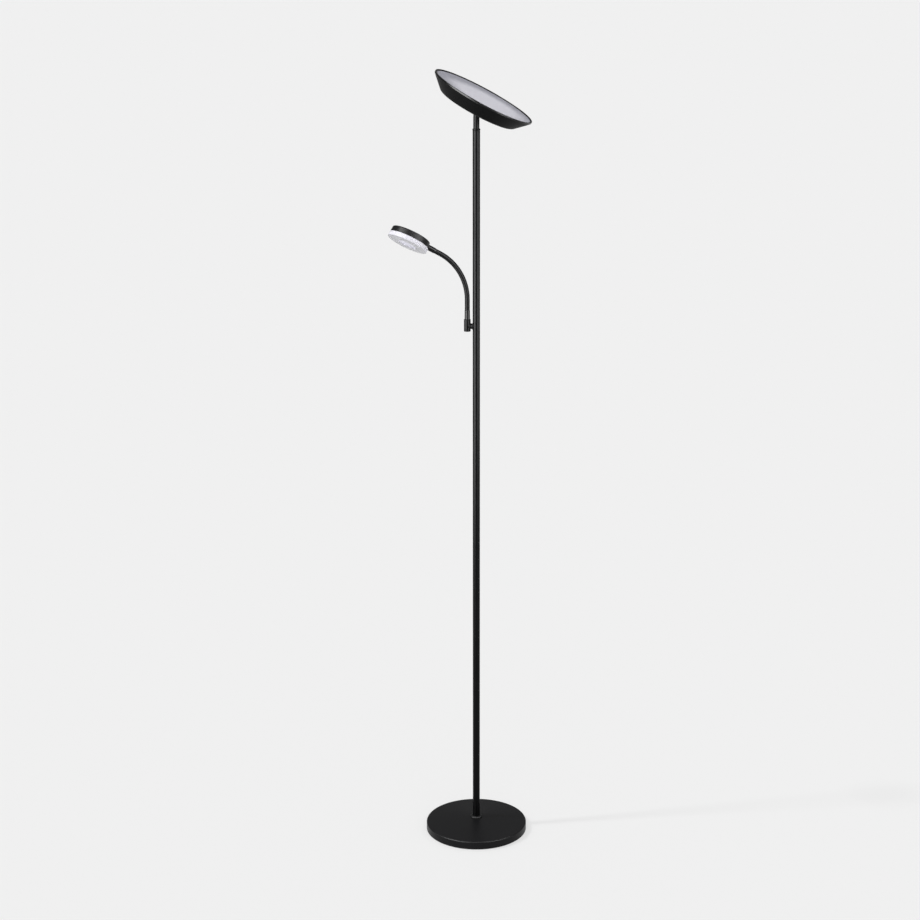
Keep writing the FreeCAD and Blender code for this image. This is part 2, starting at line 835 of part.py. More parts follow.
def reading_cap():
    """The reading light's housing, with screw bosses inside."""
    shell = turned_shell([(reading_border_radius, reading_border, 0),
                          (reading_back_radius, reading_back, reading_back_round),
                          (0, reading_back, 0)], reading_wall)
    shell = shell.cut(rod(reading_border_radius, reading_border - reading_wall, reading_border))
    boss_bottom = reading_plate_height + reading_plate_thickness
    for _, x, y in boss_places():
        shell = shell.fuse(rod(reading_boss_radius, boss_bottom, reading_back - reading_wall, x, y))
        hole_top = boss_bottom + reading_screw_depth
        shell = shell.cut(rod(reading_screw_radius, boss_bottom, hole_top, x, y))
    hole = rod_along(ALONG_X, head_spigot_radius, Vector(-reading_reach, 0, 0), head_spigot_length)
    shell = shell.cut(hole)
    return placed(shell, reading_frame())


def reading_diffuser():
    """The opal cup with a stepped opening for the lens and a lip inside the housing."""
    lip_top = reading_border + diffuser_lip_height
    lip_foot_radius = reading_inside(reading_border)
    lip_top_radius = reading_inside(lip_top)
    inner_face = reading_face + diffuser_face_wall
    inner_side = diffuser_face_radius - diffuser_side_wall
    cup = turned([(diffuser_top_radius, reading_border, 0),
                  (diffuser_face_radius, reading_face, diffuser_face_round),
                  (lens_radius, reading_face, lens_round), (lens_radius, inner_face, 0),
                  (inner_side, inner_face, diffuser_inner_round),
                  (lip_foot_radius - diffuser_lip_wall, reading_border, 0),
                  (lip_top_radius - diffuser_lip_wall, lip_top, 0), (lip_top_radius, lip_top, 0),
                  (lip_foot_radius, reading_border, 0)][::-1])
    nut_room = ferrule_nut_flats / math.sqrt(3) + ferrule_nut_room
    notch = block((-diffuser_face_radius, -diffuser_face_radius / 2), (-nut_room, nut_room),
                  (-nut_room, nut_room))
    return placed(cup.cut(notch.common(rod(lip_foot_radius, -nut_room, nut_room))), reading_frame())


def reading_lens():
    """The clear lens in the middle of the opal cup, its flange on the cup's inner face."""
    face = reading_face + lens_recess
    flange_bottom = reading_face + diffuser_face_wall
    lens_top = flange_bottom + lens_thickness
    return placed(turned([(0, face, 0), (lens_radius, face, lens_round), (lens_radius, flange_bottom, 0),
                          (lens_radius + lens_flange_width, flange_bottom, 0),
                          (lens_radius + lens_flange_width, lens_top, 0), (0, lens_top, 0)]),
                  reading_frame())


def reading_plate():
    """The metal plate behind the board."""
    plate = rod(reading_plate_radius, reading_plate_height, reading_plate_height + reading_plate_thickness)
    for _, x, y in boss_places():
        plate = plate.cut(rod(reading_screw_radius, reading_plate_height,
                              reading_plate_height + reading_plate_thickness, x, y))
    return placed(plate, reading_frame())


def reading_board():
    """The light board below the plate."""
    bottom = reading_plate_height - reading_board_thickness
    board = rod(reading_board_radius, bottom, reading_plate_height)
    for _, x, y in boss_places():
        board = board.cut(rod(reading_screw_radius, bottom, reading_plate_height, x, y))
    return placed(board, reading_frame())


def reading_chips():
    """Two rings of light chips on the board's face."""
    bottom = reading_plate_height - reading_board_thickness - chip_height
    chips = chip_ring(reading_outer_chips, reading_board_radius - reading_outer_chip_border, bottom)
    chips += chip_ring(reading_inner_chips, reading_inner_chip_circle, bottom)
    return placed(Part.makeCompound(chips), reading_frame())


def reading_screws():
    """The screws through board and plate into the housing's bosses."""
    head_top = reading_plate_height - reading_board_thickness
    tip = reading_plate_height + reading_plate_thickness + reading_screw_depth
    screws = []
    for _, x, y in boss_places():
        head = rod(reading_screw_head_radius, head_top - reading_screw_head_height, head_top, x, y)
        screws.append(head.fuse(rod(reading_screw_radius, head_top, tip, x, y)))
    return placed(Part.makeCompound(screws), reading_frame())


# Uplighter, in the bowl frame

bowl_frame = Placement(Vector(0, 0, hinge_height), Rotation(ALONG_Y, bowl_tilt))
bowl_corner_radius = rim_radius - bowl_corner_inset
land_bottom = rim_height - rim_land
lip_under = rim_height - bowl_wall
trim_bottom = lip_under - trim_thickness
diffuser_bottom = trim_bottom - bowl_diffuser_thickness
board_top = diffuser_bottom - light_room - chip_height
plate_top = board_top - led_board_thickness
led_plate_height = plate_top - led_plate_thickness
led_plate_radius = rim_radius - led_plate_inset
led_board_outer_radius = led_plate_radius - led_board_border
floor_inside = bowl_wall - bowl_floor_drop
ear_inner = fork_width / 2 + running_fit + hinge_washer_thickness
ear_outer = ear_inner + bracket_ear_thickness


def bowl_outline():
    """Outside of the bowl, from its axis over the corner and the cone to the rim's lip."""
    return [(0, -bowl_floor_drop, 0), (bowl_floor_radius, -bowl_floor_drop, bowl_floor_round),
            (bowl_corner_radius, bowl_corner_height, bowl_corner_round),
            (rim_radius, land_bottom, rim_land_round), (rim_radius, rim_height, rim_round),
            (rim_radius - rim_lip_width, rim_height, 0)]


def bowl_inside(top):
    """The room inside the bowl up to a height, as a solid."""
    inside = offset_corners(bowl_outline(), bowl_wall)[:-2]
    last = inside[-1]
    room = turned(inside[:-1] + [last, (last[0], lip_under, 0), (0, lip_under, 0)])
    return room.common(rod(rim_radius, -bowl_floor_drop, top))


def bowl_shell():
    """The spun bowl, with the hinge slot and rivet holes in its floor."""
    shell = turned_shell(bowl_outline(), bowl_wall)
    half_width = ear_outer + slot_clearance
    slot = block((-slot_half_length, slot_half_length), (-half_width, half_width),
                 (-bowl_floor_drop - 1, floor_inside + 1))
    corners = [e for e in slot.Edges if abs(e.BoundBox.ZLength) > 1]
    shell = shell.cut(slot.makeFillet(slot_round, corners))
    for x, y in rivet_places():
        shell = shell.cut(rod(rivet_radius, -bowl_floor_drop, floor_inside, x, y))
    return placed(shell, bowl_frame)


def trim_ring():
    """The flat ring under the rim's lip that holds the diffuser down."""
    outer = rim_radius - bowl_wall
    return placed(tube(outer, outer - trim_width, trim_bottom, lip_under), bowl_frame)


def bowl_diffuser():
    """The opal disc that rests on the bowl's cone below the trim ring."""
    slope = math.atan2(land_bottom - bowl_corner_height, bowl_corner_inset)
    wall_across = bowl_wall / math.sin(slope)
    radius = rim_radius - (land_bottom - diffuser_bottom) / math.tan(slope) - wall_across
    radius = min(radius, rim_radius - bowl_wall) - trim_clearance
    return placed(rod(radius, diffuser_bottom, trim_bottom), bowl_frame)


def plate_screw_places():
    """Angles and centres of the posts and screws that carry the plate."""
    return around(plate_screw_count, standoff_circle, plate_screw_start)


def led_plate():
    """The carrier plate across the bowl."""
    plate = tube(led_plate_radius, led_plate_hole_radius, led_plate_height, plate_top)
    for _, x, y in plate_screw_places():
        plate = plate.cut(rod(plate_screw_radius, led_plate_height, plate_top, x, y))
    for x, y in driver_screw_places():
        plate = plate.cut(rod(driver_screw_radius, led_plate_height, plate_top, x, y))
    return placed(plate, bowl_frame)


def led_board():
    """The ring-shaped light board on the carrier plate."""
    board = tube(led_board_outer_radius, led_board_inner_radius, plate_top, board_top)
    for _, x, y in plate_screw_places():
        board = board.cut(rod(plate_screw_radius, plate_top, board_top, x, y))
    for x, y in driver_screw_places():
        hole_radius = driver_screw_head_radius + driver_screw_room
        board = board.cut(rod(hole_radius, plate_top, board_top, x, y))
    return placed(board, bowl_frame)


def led_chips():
    """The rings of light chips."""
    chips = chip_ring(outer_chips, led_board_outer_radius - outer_chip_border, board_top)
    chips += chip_ring(middle_chips, led_board_outer_radius - middle_chip_border, board_top)
    chips += chip_ring(inner_chips, led_board_inner_radius + inner_chip_border, board_top)
    return placed(Part.makeCompound(chips), bowl_frame)


def plate_standoffs():
    """The posts on the bowl's floor that carry the plate."""
    room = bowl_inside(led_plate_height)
    posts = []
    for _, x, y in plate_screw_places():
        post = rod(standoff_radius, -bowl_floor_drop, led_plate_height, x, y).common(room)
        hole_bottom = led_plate_height - plate_screw_depth
        posts.append(post.cut(rod(plate_screw_radius, hole_bottom, led_plate_height, x, y)))
    return placed(Part.makeCompound(posts), bowl_frame)


def plate_screws():
    """The screws through board and plate into the posts."""
    screws = []
    for _, x, y in plate_screw_places():
        head = rod(plate_screw_head_radius, board_top, board_top + plate_screw_head_height, x, y)
        tip = led_plate_height - plate_screw_depth
        screws.append(head.fuse(rod(plate_screw_radius, tip, board_top, x, y)))
    return placed(Part.makeCompound(screws), bowl_frame)


def driver_screw_places():
    """Where the driver's feet are screwed to the plate."""
    near = -driver_near_side + driver_foot_length / 2
    far = -driver_near_side - driver_length - driver_foot_length / 2
    return [(near, 0.0), (far, 0.0)]


def driver_box():
    """The driver below the plate, with a screw foot at each end."""
    ends = (-driver_near_side - driver_length, -driver_near_side)
    half = driver_width / 2
    box = block(ends, (-half, half), (led_plate_height - driver_height, led_plate_height))
    low_edges = [e for e in box.Edges if e.BoundBox.ZMax < led_plate_height - 1]
    box = box.makeFillet(driver_edge_round, low_edges)
    foot_bottom = led_plate_height - driver_foot_thickness
    foot = block((ends[0] - driver_foot_length, ends[1] + driver_foot_length),
                 (-driver_foot_width / 2, driver_foot_width / 2), (foot_bottom, led_plate_height))
    body = box.fuse(foot)
    for x, y in driver_screw_places():
        body = body.cut(rod(driver_screw_radius, foot_bottom, led_plate_height, x, y))
    return placed(body, bowl_frame)


def driver_screws():
    """The screws that hang the driver from the plate."""
    screws = []
    for x, y in driver_screw_places():
        head = rod(driver_screw_head_radius, plate_top, plate_top + driver_screw_head_height, x, y)
        tip = led_plate_height - driver_foot_thickness - driver_screw_tip
        screws.append(head.fuse(rod(driver_screw_radius, tip, plate_top, x, y)))
    return placed(Part.makeCompound(screws), bowl_frame)


def terminal_block():
    """The terminal block below the plate, bored for its wires."""
    x_range = (terminal_near_side, terminal_near_side + terminal_length)
    half = terminal_width / 2
    body = block(x_range, (-half, half), (led_plate_height - terminal_height, led_plate_height))
    pitch = terminal_length / terminal_ways
    middle = led_plate_height - terminal_height / 2
    for i in range(terminal_ways):
        start = Vector(terminal_near_side + pitch * (i + 0.5), -half, middle)
        body = body.cut(rod_along(ALONG_Y, terminal_bore_radius, start, terminal_width))
    return placed(body, bowl_frame)


def rivet_places():
    """Where the bracket is riveted to the bowl's floor."""
    x = (bracket_flange_inner + bracket_half_length) / 2
    y = ear_outer + bracket_flange_width / 2
    return [(sx * x, sy * y) for sx in (-1, 1) for sy in (-1, 1)]


def bracket_ear(side):
    """One ear of the bracket: a plate above the floor with a round tab through the slot."""
    y_range = sorted((side * ear_inner, side * ear_outer))
    plate = block((-bracket_half_length, bracket_half_length), y_range, (floor_inside, bracket_crown_height))
    tab = rod_along(ALONG_Y, bracket_tab_radius, Vector(0, y_range[0], 0), bracket_ear_thickness)
    ear = plate.fuse(tab)
    flange_y = sorted((side * ear_outer, side * (ear_outer + bracket_flange_width)))
    for x_side in (-1, 1):
        flange_x = sorted((x_side * bracket_flange_inner, x_side * bracket_half_length))
        ear = ear.fuse(block(flange_x, flange_y, (floor_inside, floor_inside + bracket_flange_thickness)))
    return ear


def hinge_bracket():
    """The bracket inside the bowl whose ears hold the hinge bolt."""
    crown = block((-bracket_half_length, bracket_half_length), (-ear_outer, ear_outer),
                  (bracket_crown_height, bracket_crown_height + bracket_crown_thickness))
    body = crown.fuse(bracket_ear(-1)).fuse(bracket_ear(1)).removeSplitter()
    body = body.cut(rod(bracket_crown_hole_radius, bracket_crown_height,
                        bracket_crown_height + bracket_crown_thickness))
    body = body.cut(rod_along(ALONG_Y, hinge_bolt_radius, Vector(0, -ear_outer, 0), 2 * ear_outer))
    for x, y in rivet_places():
        body = body.cut(rod(rivet_radius, floor_inside, floor_inside + bracket_flange_thickness, x, y))
    return placed(body, bowl_frame)


def bracket_rivets():
    """The rivets through the bracket's flanges and the bowl's floor."""
    low = -bowl_floor_drop
    high = floor_inside + bracket_flange_thickness
    rivets = []
    for x, y in rivet_places():
        rivet = rod(rivet_radius, low, high, x, y)
        rivet = rivet.fuse(rod(rivet_head_radius, low - rivet_head_height, low, x, y))
        rivets.append(rivet.fuse(rod(rivet_head_radius, high, high + rivet_head_height, x, y)))
    return placed(Part.makeCompound(rivets), bowl_frame)


def hinge_bolt():
    """The bolt through both ears and the fork."""
    head = rod_along(ALONG_Y, hinge_head_radius, Vector(0, -ear_outer - hinge_head_height, 0),
                     hinge_head_height)
    shank = rod_along(ALONG_Y, hinge_bolt_radius, Vector(0, -ear_outer, 0),
                      2 * ear_outer + hinge_nut_height + hinge_bolt_end)
    return placed(head.fuse(shank), bowl_frame)


def hinge_nut():
    """The lock nut on the hinge bolt."""
    body = nut(hinge_nut_flats, hinge_bolt_radius, 0, hinge_nut_height)
    on_bolt = Placement(Vector(0, ear_outer, 0), Rotation(ALONG_X, -90))
    return placed(body, bowl_frame.multiply(on_bolt))


def friction_washers():
    """The two washers between the ears and the fork that brake the tilt."""
    washers = []
    for y in (-ear_inner, ear_inner - hinge_washer_thickness):
        start = Vector(0, y, 0)
        washer = rod_along(ALONG_Y, hinge_washer_radius, start, hinge_washer_thickness)
        washers.append(washer.cut(rod_along(ALONG_Y, hinge_bolt_radius, start, hinge_washer_thickness)))
    return placed(Part.makeCompound(washers), bowl_frame)


def all_nodes():
    """Every node's name and shape."""
    nodes = {
        "base_cover": base_cover(), "base_weight": base_weight(), "base_pad": base_pad(),
        "base_stud": base_stud(), "stud_washer": stud_washer(), "stud_nut": stud_nut(),
        "foot_collar": foot_collar(), "cord_grommet": cord_grommet(),
        "pole_lower": pole_tube(pole_foot, lower_seam_height), "pole_middle": pole_middle(),
        "pole_upper": pole_tube(upper_seam_height, pole_top_height),
        "pole_inserts": pole_inserts(), "pole_nipples": pole_nipples(), "arm_anchor": arm_anchor(),
        "pole_cap": pole_cap(), "feed_cable": feed_cable(), "hinge_neck": hinge_neck(),
        "arm_stub": arm_stub(), "stub_screw": stub_screw(), "arm_socket": arm_socket(),
        "socket_cap": socket_cap(), "arm_ferrule": arm_ferrule(), "swivel_washer": swivel_washer(),
        "swivel_nut": swivel_nut(), "head_ferrule": head_ferrule(), "ferrule_nut": ferrule_nut(),
        "reading_cap": reading_cap(), "reading_diffuser": reading_diffuser(),
        "reading_lens": reading_lens(), "reading_plate": reading_plate(),
        "reading_board": reading_board(), "reading_chips": reading_chips(),
        "reading_screws": reading_screws(), "bowl_shell": bowl_shell(), "trim_ring": trim_ring(),
        "bowl_diffuser": bowl_diffuser(), "led_plate": led_plate(), "led_board": led_board(),
        "led_chips": led_chips(), "plate_standoffs": plate_standoffs(),
        "plate_screws": plate_screws(), "driver_box": driver_box(), "driver_screws": driver_screws(),
        "terminal_block": terminal_block(), "hinge_bracket": hinge_bracket(),
        "bracket_rivets": bracket_rivets(), "hinge_bolt": hinge_bolt(), "hinge_nut": hinge_nut(),
        "friction_washers": friction_washers(),
    }
    points = joint_points()
    nodes["gooseneck_1"] = gooseneck_foot(points[0], points[1])
    for i in range(1, gooseneck_links):
        nodes["gooseneck_%d" % (i + 1)] = gooseneck_link(points[i], points[i + 1])
    return nodes


os.makedirs("parts", exist_ok=True)
for name, shape in all_nodes().items():
    shape.exportStep("parts/%s.step" % name)
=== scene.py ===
import logging
import math
from dataclasses import dataclass
from enum import Enum

import bmesh
import bpy
from mathutils import Matrix, Vector


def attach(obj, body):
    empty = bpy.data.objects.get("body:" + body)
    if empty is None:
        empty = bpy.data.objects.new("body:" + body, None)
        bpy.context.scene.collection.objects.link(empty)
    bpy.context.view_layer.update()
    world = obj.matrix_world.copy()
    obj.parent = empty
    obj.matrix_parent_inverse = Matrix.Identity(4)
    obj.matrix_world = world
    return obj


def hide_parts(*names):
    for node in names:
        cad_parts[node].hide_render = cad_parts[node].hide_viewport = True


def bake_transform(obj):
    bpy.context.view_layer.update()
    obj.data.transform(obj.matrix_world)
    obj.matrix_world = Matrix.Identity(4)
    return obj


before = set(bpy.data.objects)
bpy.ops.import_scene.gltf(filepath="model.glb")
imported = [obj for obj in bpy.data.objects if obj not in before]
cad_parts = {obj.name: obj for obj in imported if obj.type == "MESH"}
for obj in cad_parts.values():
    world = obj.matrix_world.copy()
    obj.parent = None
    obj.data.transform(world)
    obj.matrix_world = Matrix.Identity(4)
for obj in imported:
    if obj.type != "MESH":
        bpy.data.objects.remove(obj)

# Short names for the types in the hints below.
Tree = bpy.types.NodeTree
Node = bpy.types.Node
Socket = bpy.types.NodeSocket
Material = bpy.types.Material
Piece = bpy.types.Object
Shape = bmesh.types.BMesh
Triple = tuple[float, float, float]

MM = 0.001
# Distances in metres: where a point still lies on a ring, and where the seam's doubles are merged.
SAME_PLACE = 2e-6
SEAM = 1e-7

log = logging.getLogger("lamp")
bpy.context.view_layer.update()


# Small tools for shaders


def linear(colour: str) -> tuple[float, float, float, float]:
    """Turn an sRGB hex colour into linear red, green, blue and alpha.

    Args:
        colour: six hex digits after a hash sign.

    Returns:
        The linear colour, with alpha 1.
    """
    parts = [int(colour[i:i + 2], 16) / 255 for i in (1, 3, 5)]
    # The curve and its numbers are those of the sRGB standard.
    made = [c / 12.92 if c <= 0.04045 else ((c + 0.055) / 1.055) ** 2.4 for c in parts]
    return made[0], made[1], made[2], 1.0


def add_node(tree: Tree, kind: str, settings: dict | None = None, links: dict | None = None) -> Node:
    """Add a node with its settings and its incoming links.

    Args:
        tree: the node tree.
        kind: the node's type, without the shader prefix.
        settings: input or property names, and the values they get.
        links: input names or numbers, and the sockets that feed them.

    Returns:
        The new node.
    """
    node = tree.nodes.new("ShaderNode" + kind)
    for key, value in (settings or {}).items():
        if isinstance(key, int) or key in node.inputs:
            node.inputs[key].default_value = value
        else:
            setattr(node, key, value)
    for key, socket in (links or {}).items():
        tree.links.new(socket, node.inputs[key])
    return node


# Finishes


@dataclass(frozen=True)
class Finish:
    """What a surface is made of, and the record's material slot that it belongs to.

    The plain fields go on the shader's own sockets; a subclass adds its pattern in dress.
    """

    name: str
    slot: str
    colour: str
    roughness: float
    metallic: float = 0.0
    specular: float = 0.5

    def material(self) -> Material:
        """Make the material, or find it if it is made.

        Returns:
            The material.
        """
        found = bpy.data.materials.get(self.name)
        if found:
            return found
        material = bpy.data.materials.new(self.name)
        material.use_nodes = True
        tree = material.node_tree
        shader = tree.nodes["Principled BSDF"]
        shader.inputs["Base Color"].default_value = linear(self.colour)
        shader.inputs["Roughness"].default_value = self.roughness
        shader.inputs["Metallic"].default_value = self.metallic
        shader.inputs["Specular IOR Level"].default_value = self.specular
        self.dress(tree, shader)
        return material

    def dress(self, tree: Tree, shader: Node) -> None:
        """Add the pattern of the surface.

        Args:
            tree: the material's node tree.
            shader: its principled shader.
        """
        raise NotImplementedError

    def place(self, tree: Tree, stretch: Triple = (1, 1, 1), turn: Triple = (0, 0, 0),
              centre: Triple = (0, 0, 0)) -> Socket:
        """Give the object coordinates, stretched and turned about a centre.

        Args:
            tree: the material's node tree.
            stretch: scale along each axis.
            turn: rotation about each axis, in radians.
            centre: the point that becomes the origin, in metres.

        Returns:
            The vector socket.
        """
        coordinates = add_node(tree, "TexCoord")
        moved = add_node(tree, "Mapping", {"vector_type": "TEXTURE", "Location": centre, "Rotation": turn,
                                           "Scale": tuple(1 / s for s in stretch)},
                         {"Vector": coordinates.outputs["Object"]})
        return moved.outputs["Vector"]

    def polish(self, tree: Tree, shader: Node, socket: Socket, low: float, high: float) -> None:
        """Let the roughness drift between two values by a pattern.

        Args:
            tree: the material's node tree.
            shader: its principled shader.
            socket: the pattern, 0 to 1.
            low: the roughness at 0.
            high: the roughness at 1.
        """
        spread = add_node(tree, "MapRange", {"To Min": low, "To Max": high}, {"Value": socket})
        tree.links.new(spread.outputs["Result"], shader.inputs["Roughness"])

    def tint(self, tree: Tree, shader: Node, socket: Socket, other: str) -> None:
        """Let the colour drift to another one by a pattern.

        Args:
            tree: the material's node tree.
            shader: its principled shader.
            socket: the pattern, 0 to 1.
            other: the colour at 1, as hex.
        """
        mix = add_node(tree, "Mix", {"data_type": "RGBA", 6: linear(self.colour), 7: linear(other)},
                       {0: socket})
        tree.links.new(mix.outputs[2], shader.inputs["Base Color"])

    def relief(self, tree: Tree, shader: Node, height: Socket, depth: float) -> None:
        """Raise the surface by a pattern.

        Args:
            tree: the material's node tree.
            shader: its principled shader.
            height: the pattern, 0 to 1.
            depth: the height of a full step, in millimetres.
        """
        bump = add_node(tree, "Bump", {"Strength": 1.0, "Distance": depth * MM}, {"Height": height})
        tree.links.new(bump.outputs["Normal"], shader.inputs["Normal"])


@dataclass(frozen=True)
class PowderCoat(Finish):
    """Baked powder coat: a satin skin with a very low orange peel."""

    peel_size: float = 2.2
    peel_depth: float = 0.012
    drift_size: float = 60.0
    lighter: str = "#0b0b0c"
    roughness_spread: float = 0.05

    def dress(self, tree: Tree, shader: Node) -> None:
        """Add the peel and a slow drift of gloss and colour.

        Args:
            tree: the material's node tree.
            shader: its principled shader.
        """
        where = self.place(tree)
        # Real peel is under 1 mm across; it is drawn coarser, so that it shows at all.
        peel = add_node(tree, "TexNoise", {"Scale": 1 / (self.peel_size * MM), "Detail": 2.0},
                        {"Vector": where})
        drift = add_node(tree, "TexNoise", {"Scale": 1 / (self.drift_size * MM), "Detail": 3.0},
                         {"Vector": where})
        self.relief(tree, shader, peel.outputs["Fac"], self.peel_depth)
        self.tint(tree, shader, drift.outputs["Fac"], self.lighter)
        self.polish(tree, shader, drift.outputs["Fac"], self.roughness - self.roughness_spread,
                    self.roughness + self.roughness_spread)


@dataclass(frozen=True)
class MouldedPlastic(Finish):
    """Moulded plastic with the fine spark texture of its tool."""

    spark_size: float = 1.2
    spark_depth: float = 0.01
    cloud_size: float = 25.0
    other: str = "#141416"

    def dress(self, tree: Tree, shader: Node) -> None:
        """Add the spark texture and a faint clouding.

        Args:
            tree: the material's node tree.
            shader: its principled shader.
        """
        where = self.place(tree)
        # Real spark texture is about 0.1 mm; it is drawn coarser, so that it shows at all.
        spark = add_node(tree, "TexNoise", {"Scale": 1 / (self.spark_size * MM), "Detail": 4.0,
                                            "Roughness": 0.7}, {"Vector": where})
        cloud = add_node(tree, "TexNoise", {"Scale": 1 / (self.cloud_size * MM), "Detail": 2.0},
                         {"Vector": where})
        self.relief(tree, shader, spark.outputs["Fac"], self.spark_depth)
        self.tint(tree, shader, cloud.outputs["Fac"], self.other)


@dataclass(frozen=True)
class OpalAcrylic(Finish):
    """Opal acrylic: milky all through, so that light softens inside it. Sizes in millimetres."""

    other: str = "#d2d1dc"
    ior: float = 1.49
    scatter: float = 0.25
    scatter_depth: float = 2.0
    milk_size: float = 500 / 7
    wave_size: float = 50 / 3
    wave_depth: float = 0.02

    def dress(self, tree: Tree, shader: Node) -> None:
        """Add scattering, a slow drift of the milk and a faint surface wave.

        Args:
            tree: the material's node tree.
            shader: its principled shader.
        """
        shader.inputs["Subsurface Weight"].default_value = self.scatter
        shader.inputs["Subsurface Radius"].default_value = (1.0, 1.0, 1.0)
        shader.inputs["Subsurface Scale"].default_value = self.scatter_depth * MM
        shader.inputs["IOR"].default_value = self.ior
        where = self.place(tree)
        milk = add_node(tree, "TexNoise", {"Scale": 1 / (self.milk_size * MM), "Detail": 2.0},
                        {"Vector": where})
        wave = add_node(tree, "TexNoise", {"Scale": 1 / (self.wave_size * MM), "Detail": 1.0},
                        {"Vector": where})
        self.tint(tree, shader, milk.outputs["Fac"], self.other)
        self.relief(tree, shader, wave.outputs["Fac"], self.wave_depth)


@dataclass(frozen=True)
class OpalSheet(OpalAcrylic):
    """Opal sheet with a painted shade that greys it towards its edge round an off-centre middle, where the
    rim shades it.
    """

    # Colour of the painted shade at the sheet's edge.
    edge: str = "#a6a6b1"
    radius: float = 112.0
    painted_shade_width: float = 0.5
    # Middle of the painted shade, in metres.
    centre: Triple = (0.0, 0.0, 0.0)

    def dress(self, tree: Tree, shader: Node) -> None:
        """Add the scattering, and the painted shade at the edge over the milk.

        Args:
            tree: the material's node tree.
            shader: its principled shader.
        """
        OpalAcrylic.dress(self, tree, shader)
        milk = shader.inputs["Base Color"].links[0].from_socket
        # Painted shade: greyer from its middle out to the edge.
        size = 1 / (self.radius * MM)
        where = self.place(tree, stretch=(size, size, size), centre=self.centre)
        inwards = add_node(tree, "TexGradient", {"gradient_type": "SPHERICAL"}, {"Vector": where})
        fade = add_node(tree, "MapRange", {"interpolation_type": "SMOOTHSTEP", "From Max": self.painted_shade_width},
                        {"Value": inwards.outputs["Fac"]})
        mix = add_node(tree, "Mix", {"data_type": "RGBA", 6: linear(self.edge)},
                       {0: fade.outputs["Result"], 7: milk})
        tree.links.new(mix.outputs[2], shader.inputs["Base Color"])


@dataclass(frozen=True)
class OpalCup(OpalAcrylic):
    """Moulded opal cup, whose face is a shade greyer than its wall: painted shade, as the face looks down
    away from the light.
    """

    # Colour of the face, greyed by painted shade.
    face: str = "#c6c6ca"
    face_height: float = -15.8
    wall_height: float = -14.0
    centre: Triple = (0.0, 0.0, 0.0)
    turn: Triple = (0.0, 0.0, 0.0)

    def dress(self, tree: Tree, shader: Node) -> None:
        """Add the scattering, and the greyer face under the wall's milk.

        Args:
            tree: the material's node tree.
            shader: its principled shader.
        """
        OpalAcrylic.dress(self, tree, shader)
        milk = shader.inputs["Base Color"].links[0].from_socket
        # Painted shade: the face, lowest in the cup, gets the greyer colour.
        where = self.place(tree, centre=self.centre, turn=self.turn)
        parts = add_node(tree, "SeparateXYZ", links={"Vector": where})
        up = add_node(tree, "MapRange", {"From Min": self.face_height * MM,
                                         "From Max": self.wall_height * MM}, {"Value": parts.outputs["Z"]})
        mix = add_node(tree, "Mix", {"data_type": "RGBA", 6: linear(self.face)},
                       {0: up.outputs["Result"], 7: milk})
        tree.links.new(mix.outputs[2], shader.inputs["Base Color"])


@dataclass(frozen=True)
class PrismAcrylic(Finish):
    """Acrylic moulded with fine rings round its middle, which spread the light."""

    other: str = "#e4e2f4"
    ior: float = 1.49
    coat: float = 0.4
    coat_roughness: float = 0.15
    scatter: float = 0.2
    scatter_depth: float = 1.5
    ring_pitch: float = 2.0
    ring_depth: float = 0.05
    centre: Triple = (0.0, 0.0, 0.0)
    turn: Triple = (0.0, 0.0, 0.0)

    def dress(self, tree: Tree, shader: Node) -> None:
        """Add the rings.

        Args:
            tree: the material's node tree.
            shader: its principled shader.
        """
        shader.inputs["IOR"].default_value = self.ior
        shader.inputs["Coat Weight"].default_value = self.coat
        shader.inputs["Coat Roughness"].default_value = self.coat_roughness
        shader.inputs["Subsurface Weight"].default_value = self.scatter
        shader.inputs["Subsurface Radius"].default_value = (1.0, 1.0, 1.0)
        shader.inputs["Subsurface Scale"].default_value = self.scatter_depth * MM
        where = self.place(tree, centre=self.centre, turn=self.turn)
        # Real rings are under 1 mm apart; they are drawn coarser, so that they show at all. The texture's
        # rings lie pi / 10 apart at a scale of 1.
        rings = add_node(tree, "TexWave", {"wave_type": "RINGS", "rings_direction": "Z",
                                           "Scale": math.pi / 10 / (self.ring_pitch * MM),
                                           "Distortion": 0.0}, {"Vector": where})
        self.relief(tree, shader, rings.outputs["Fac"], self.ring_depth)
        self.tint(tree, shader, rings.outputs["Fac"], self.other)


@dataclass(frozen=True)
class BrushedMetal(Finish):
    """Rolled or plated metal with fine lines along one direction."""

    line_size: float = 0.8
    line_depth: float = 0.01
    smoother: float = 0.08
    rougher: float = 0.12
    stretch: Triple = (0.05, 1.0, 1.0)
    other: str = "#8f9193"

    def dress(self, tree: Tree, shader: Node) -> None:
        """Add the lines to colour, gloss and relief.

        Args:
            tree: the material's node tree.
            shader: its principled shader.
        """
        where = self.place(tree, stretch=self.stretch)
        # Real lines are about 0.1 mm wide; they are drawn coarser, so that they show at all.
        lines = add_node(tree, "TexNoise", {"Scale": 1 / (self.line_size * MM), "Detail": 3.0},
                         {"Vector": where})
        self.tint(tree, shader, lines.outputs["Fac"], self.other)
        self.polish(tree, shader, lines.outputs["Fac"], self.roughness - self.smoother,
                    self.roughness + self.rougher)
        self.relief(tree, shader, lines.outputs["Fac"], self.line_depth)


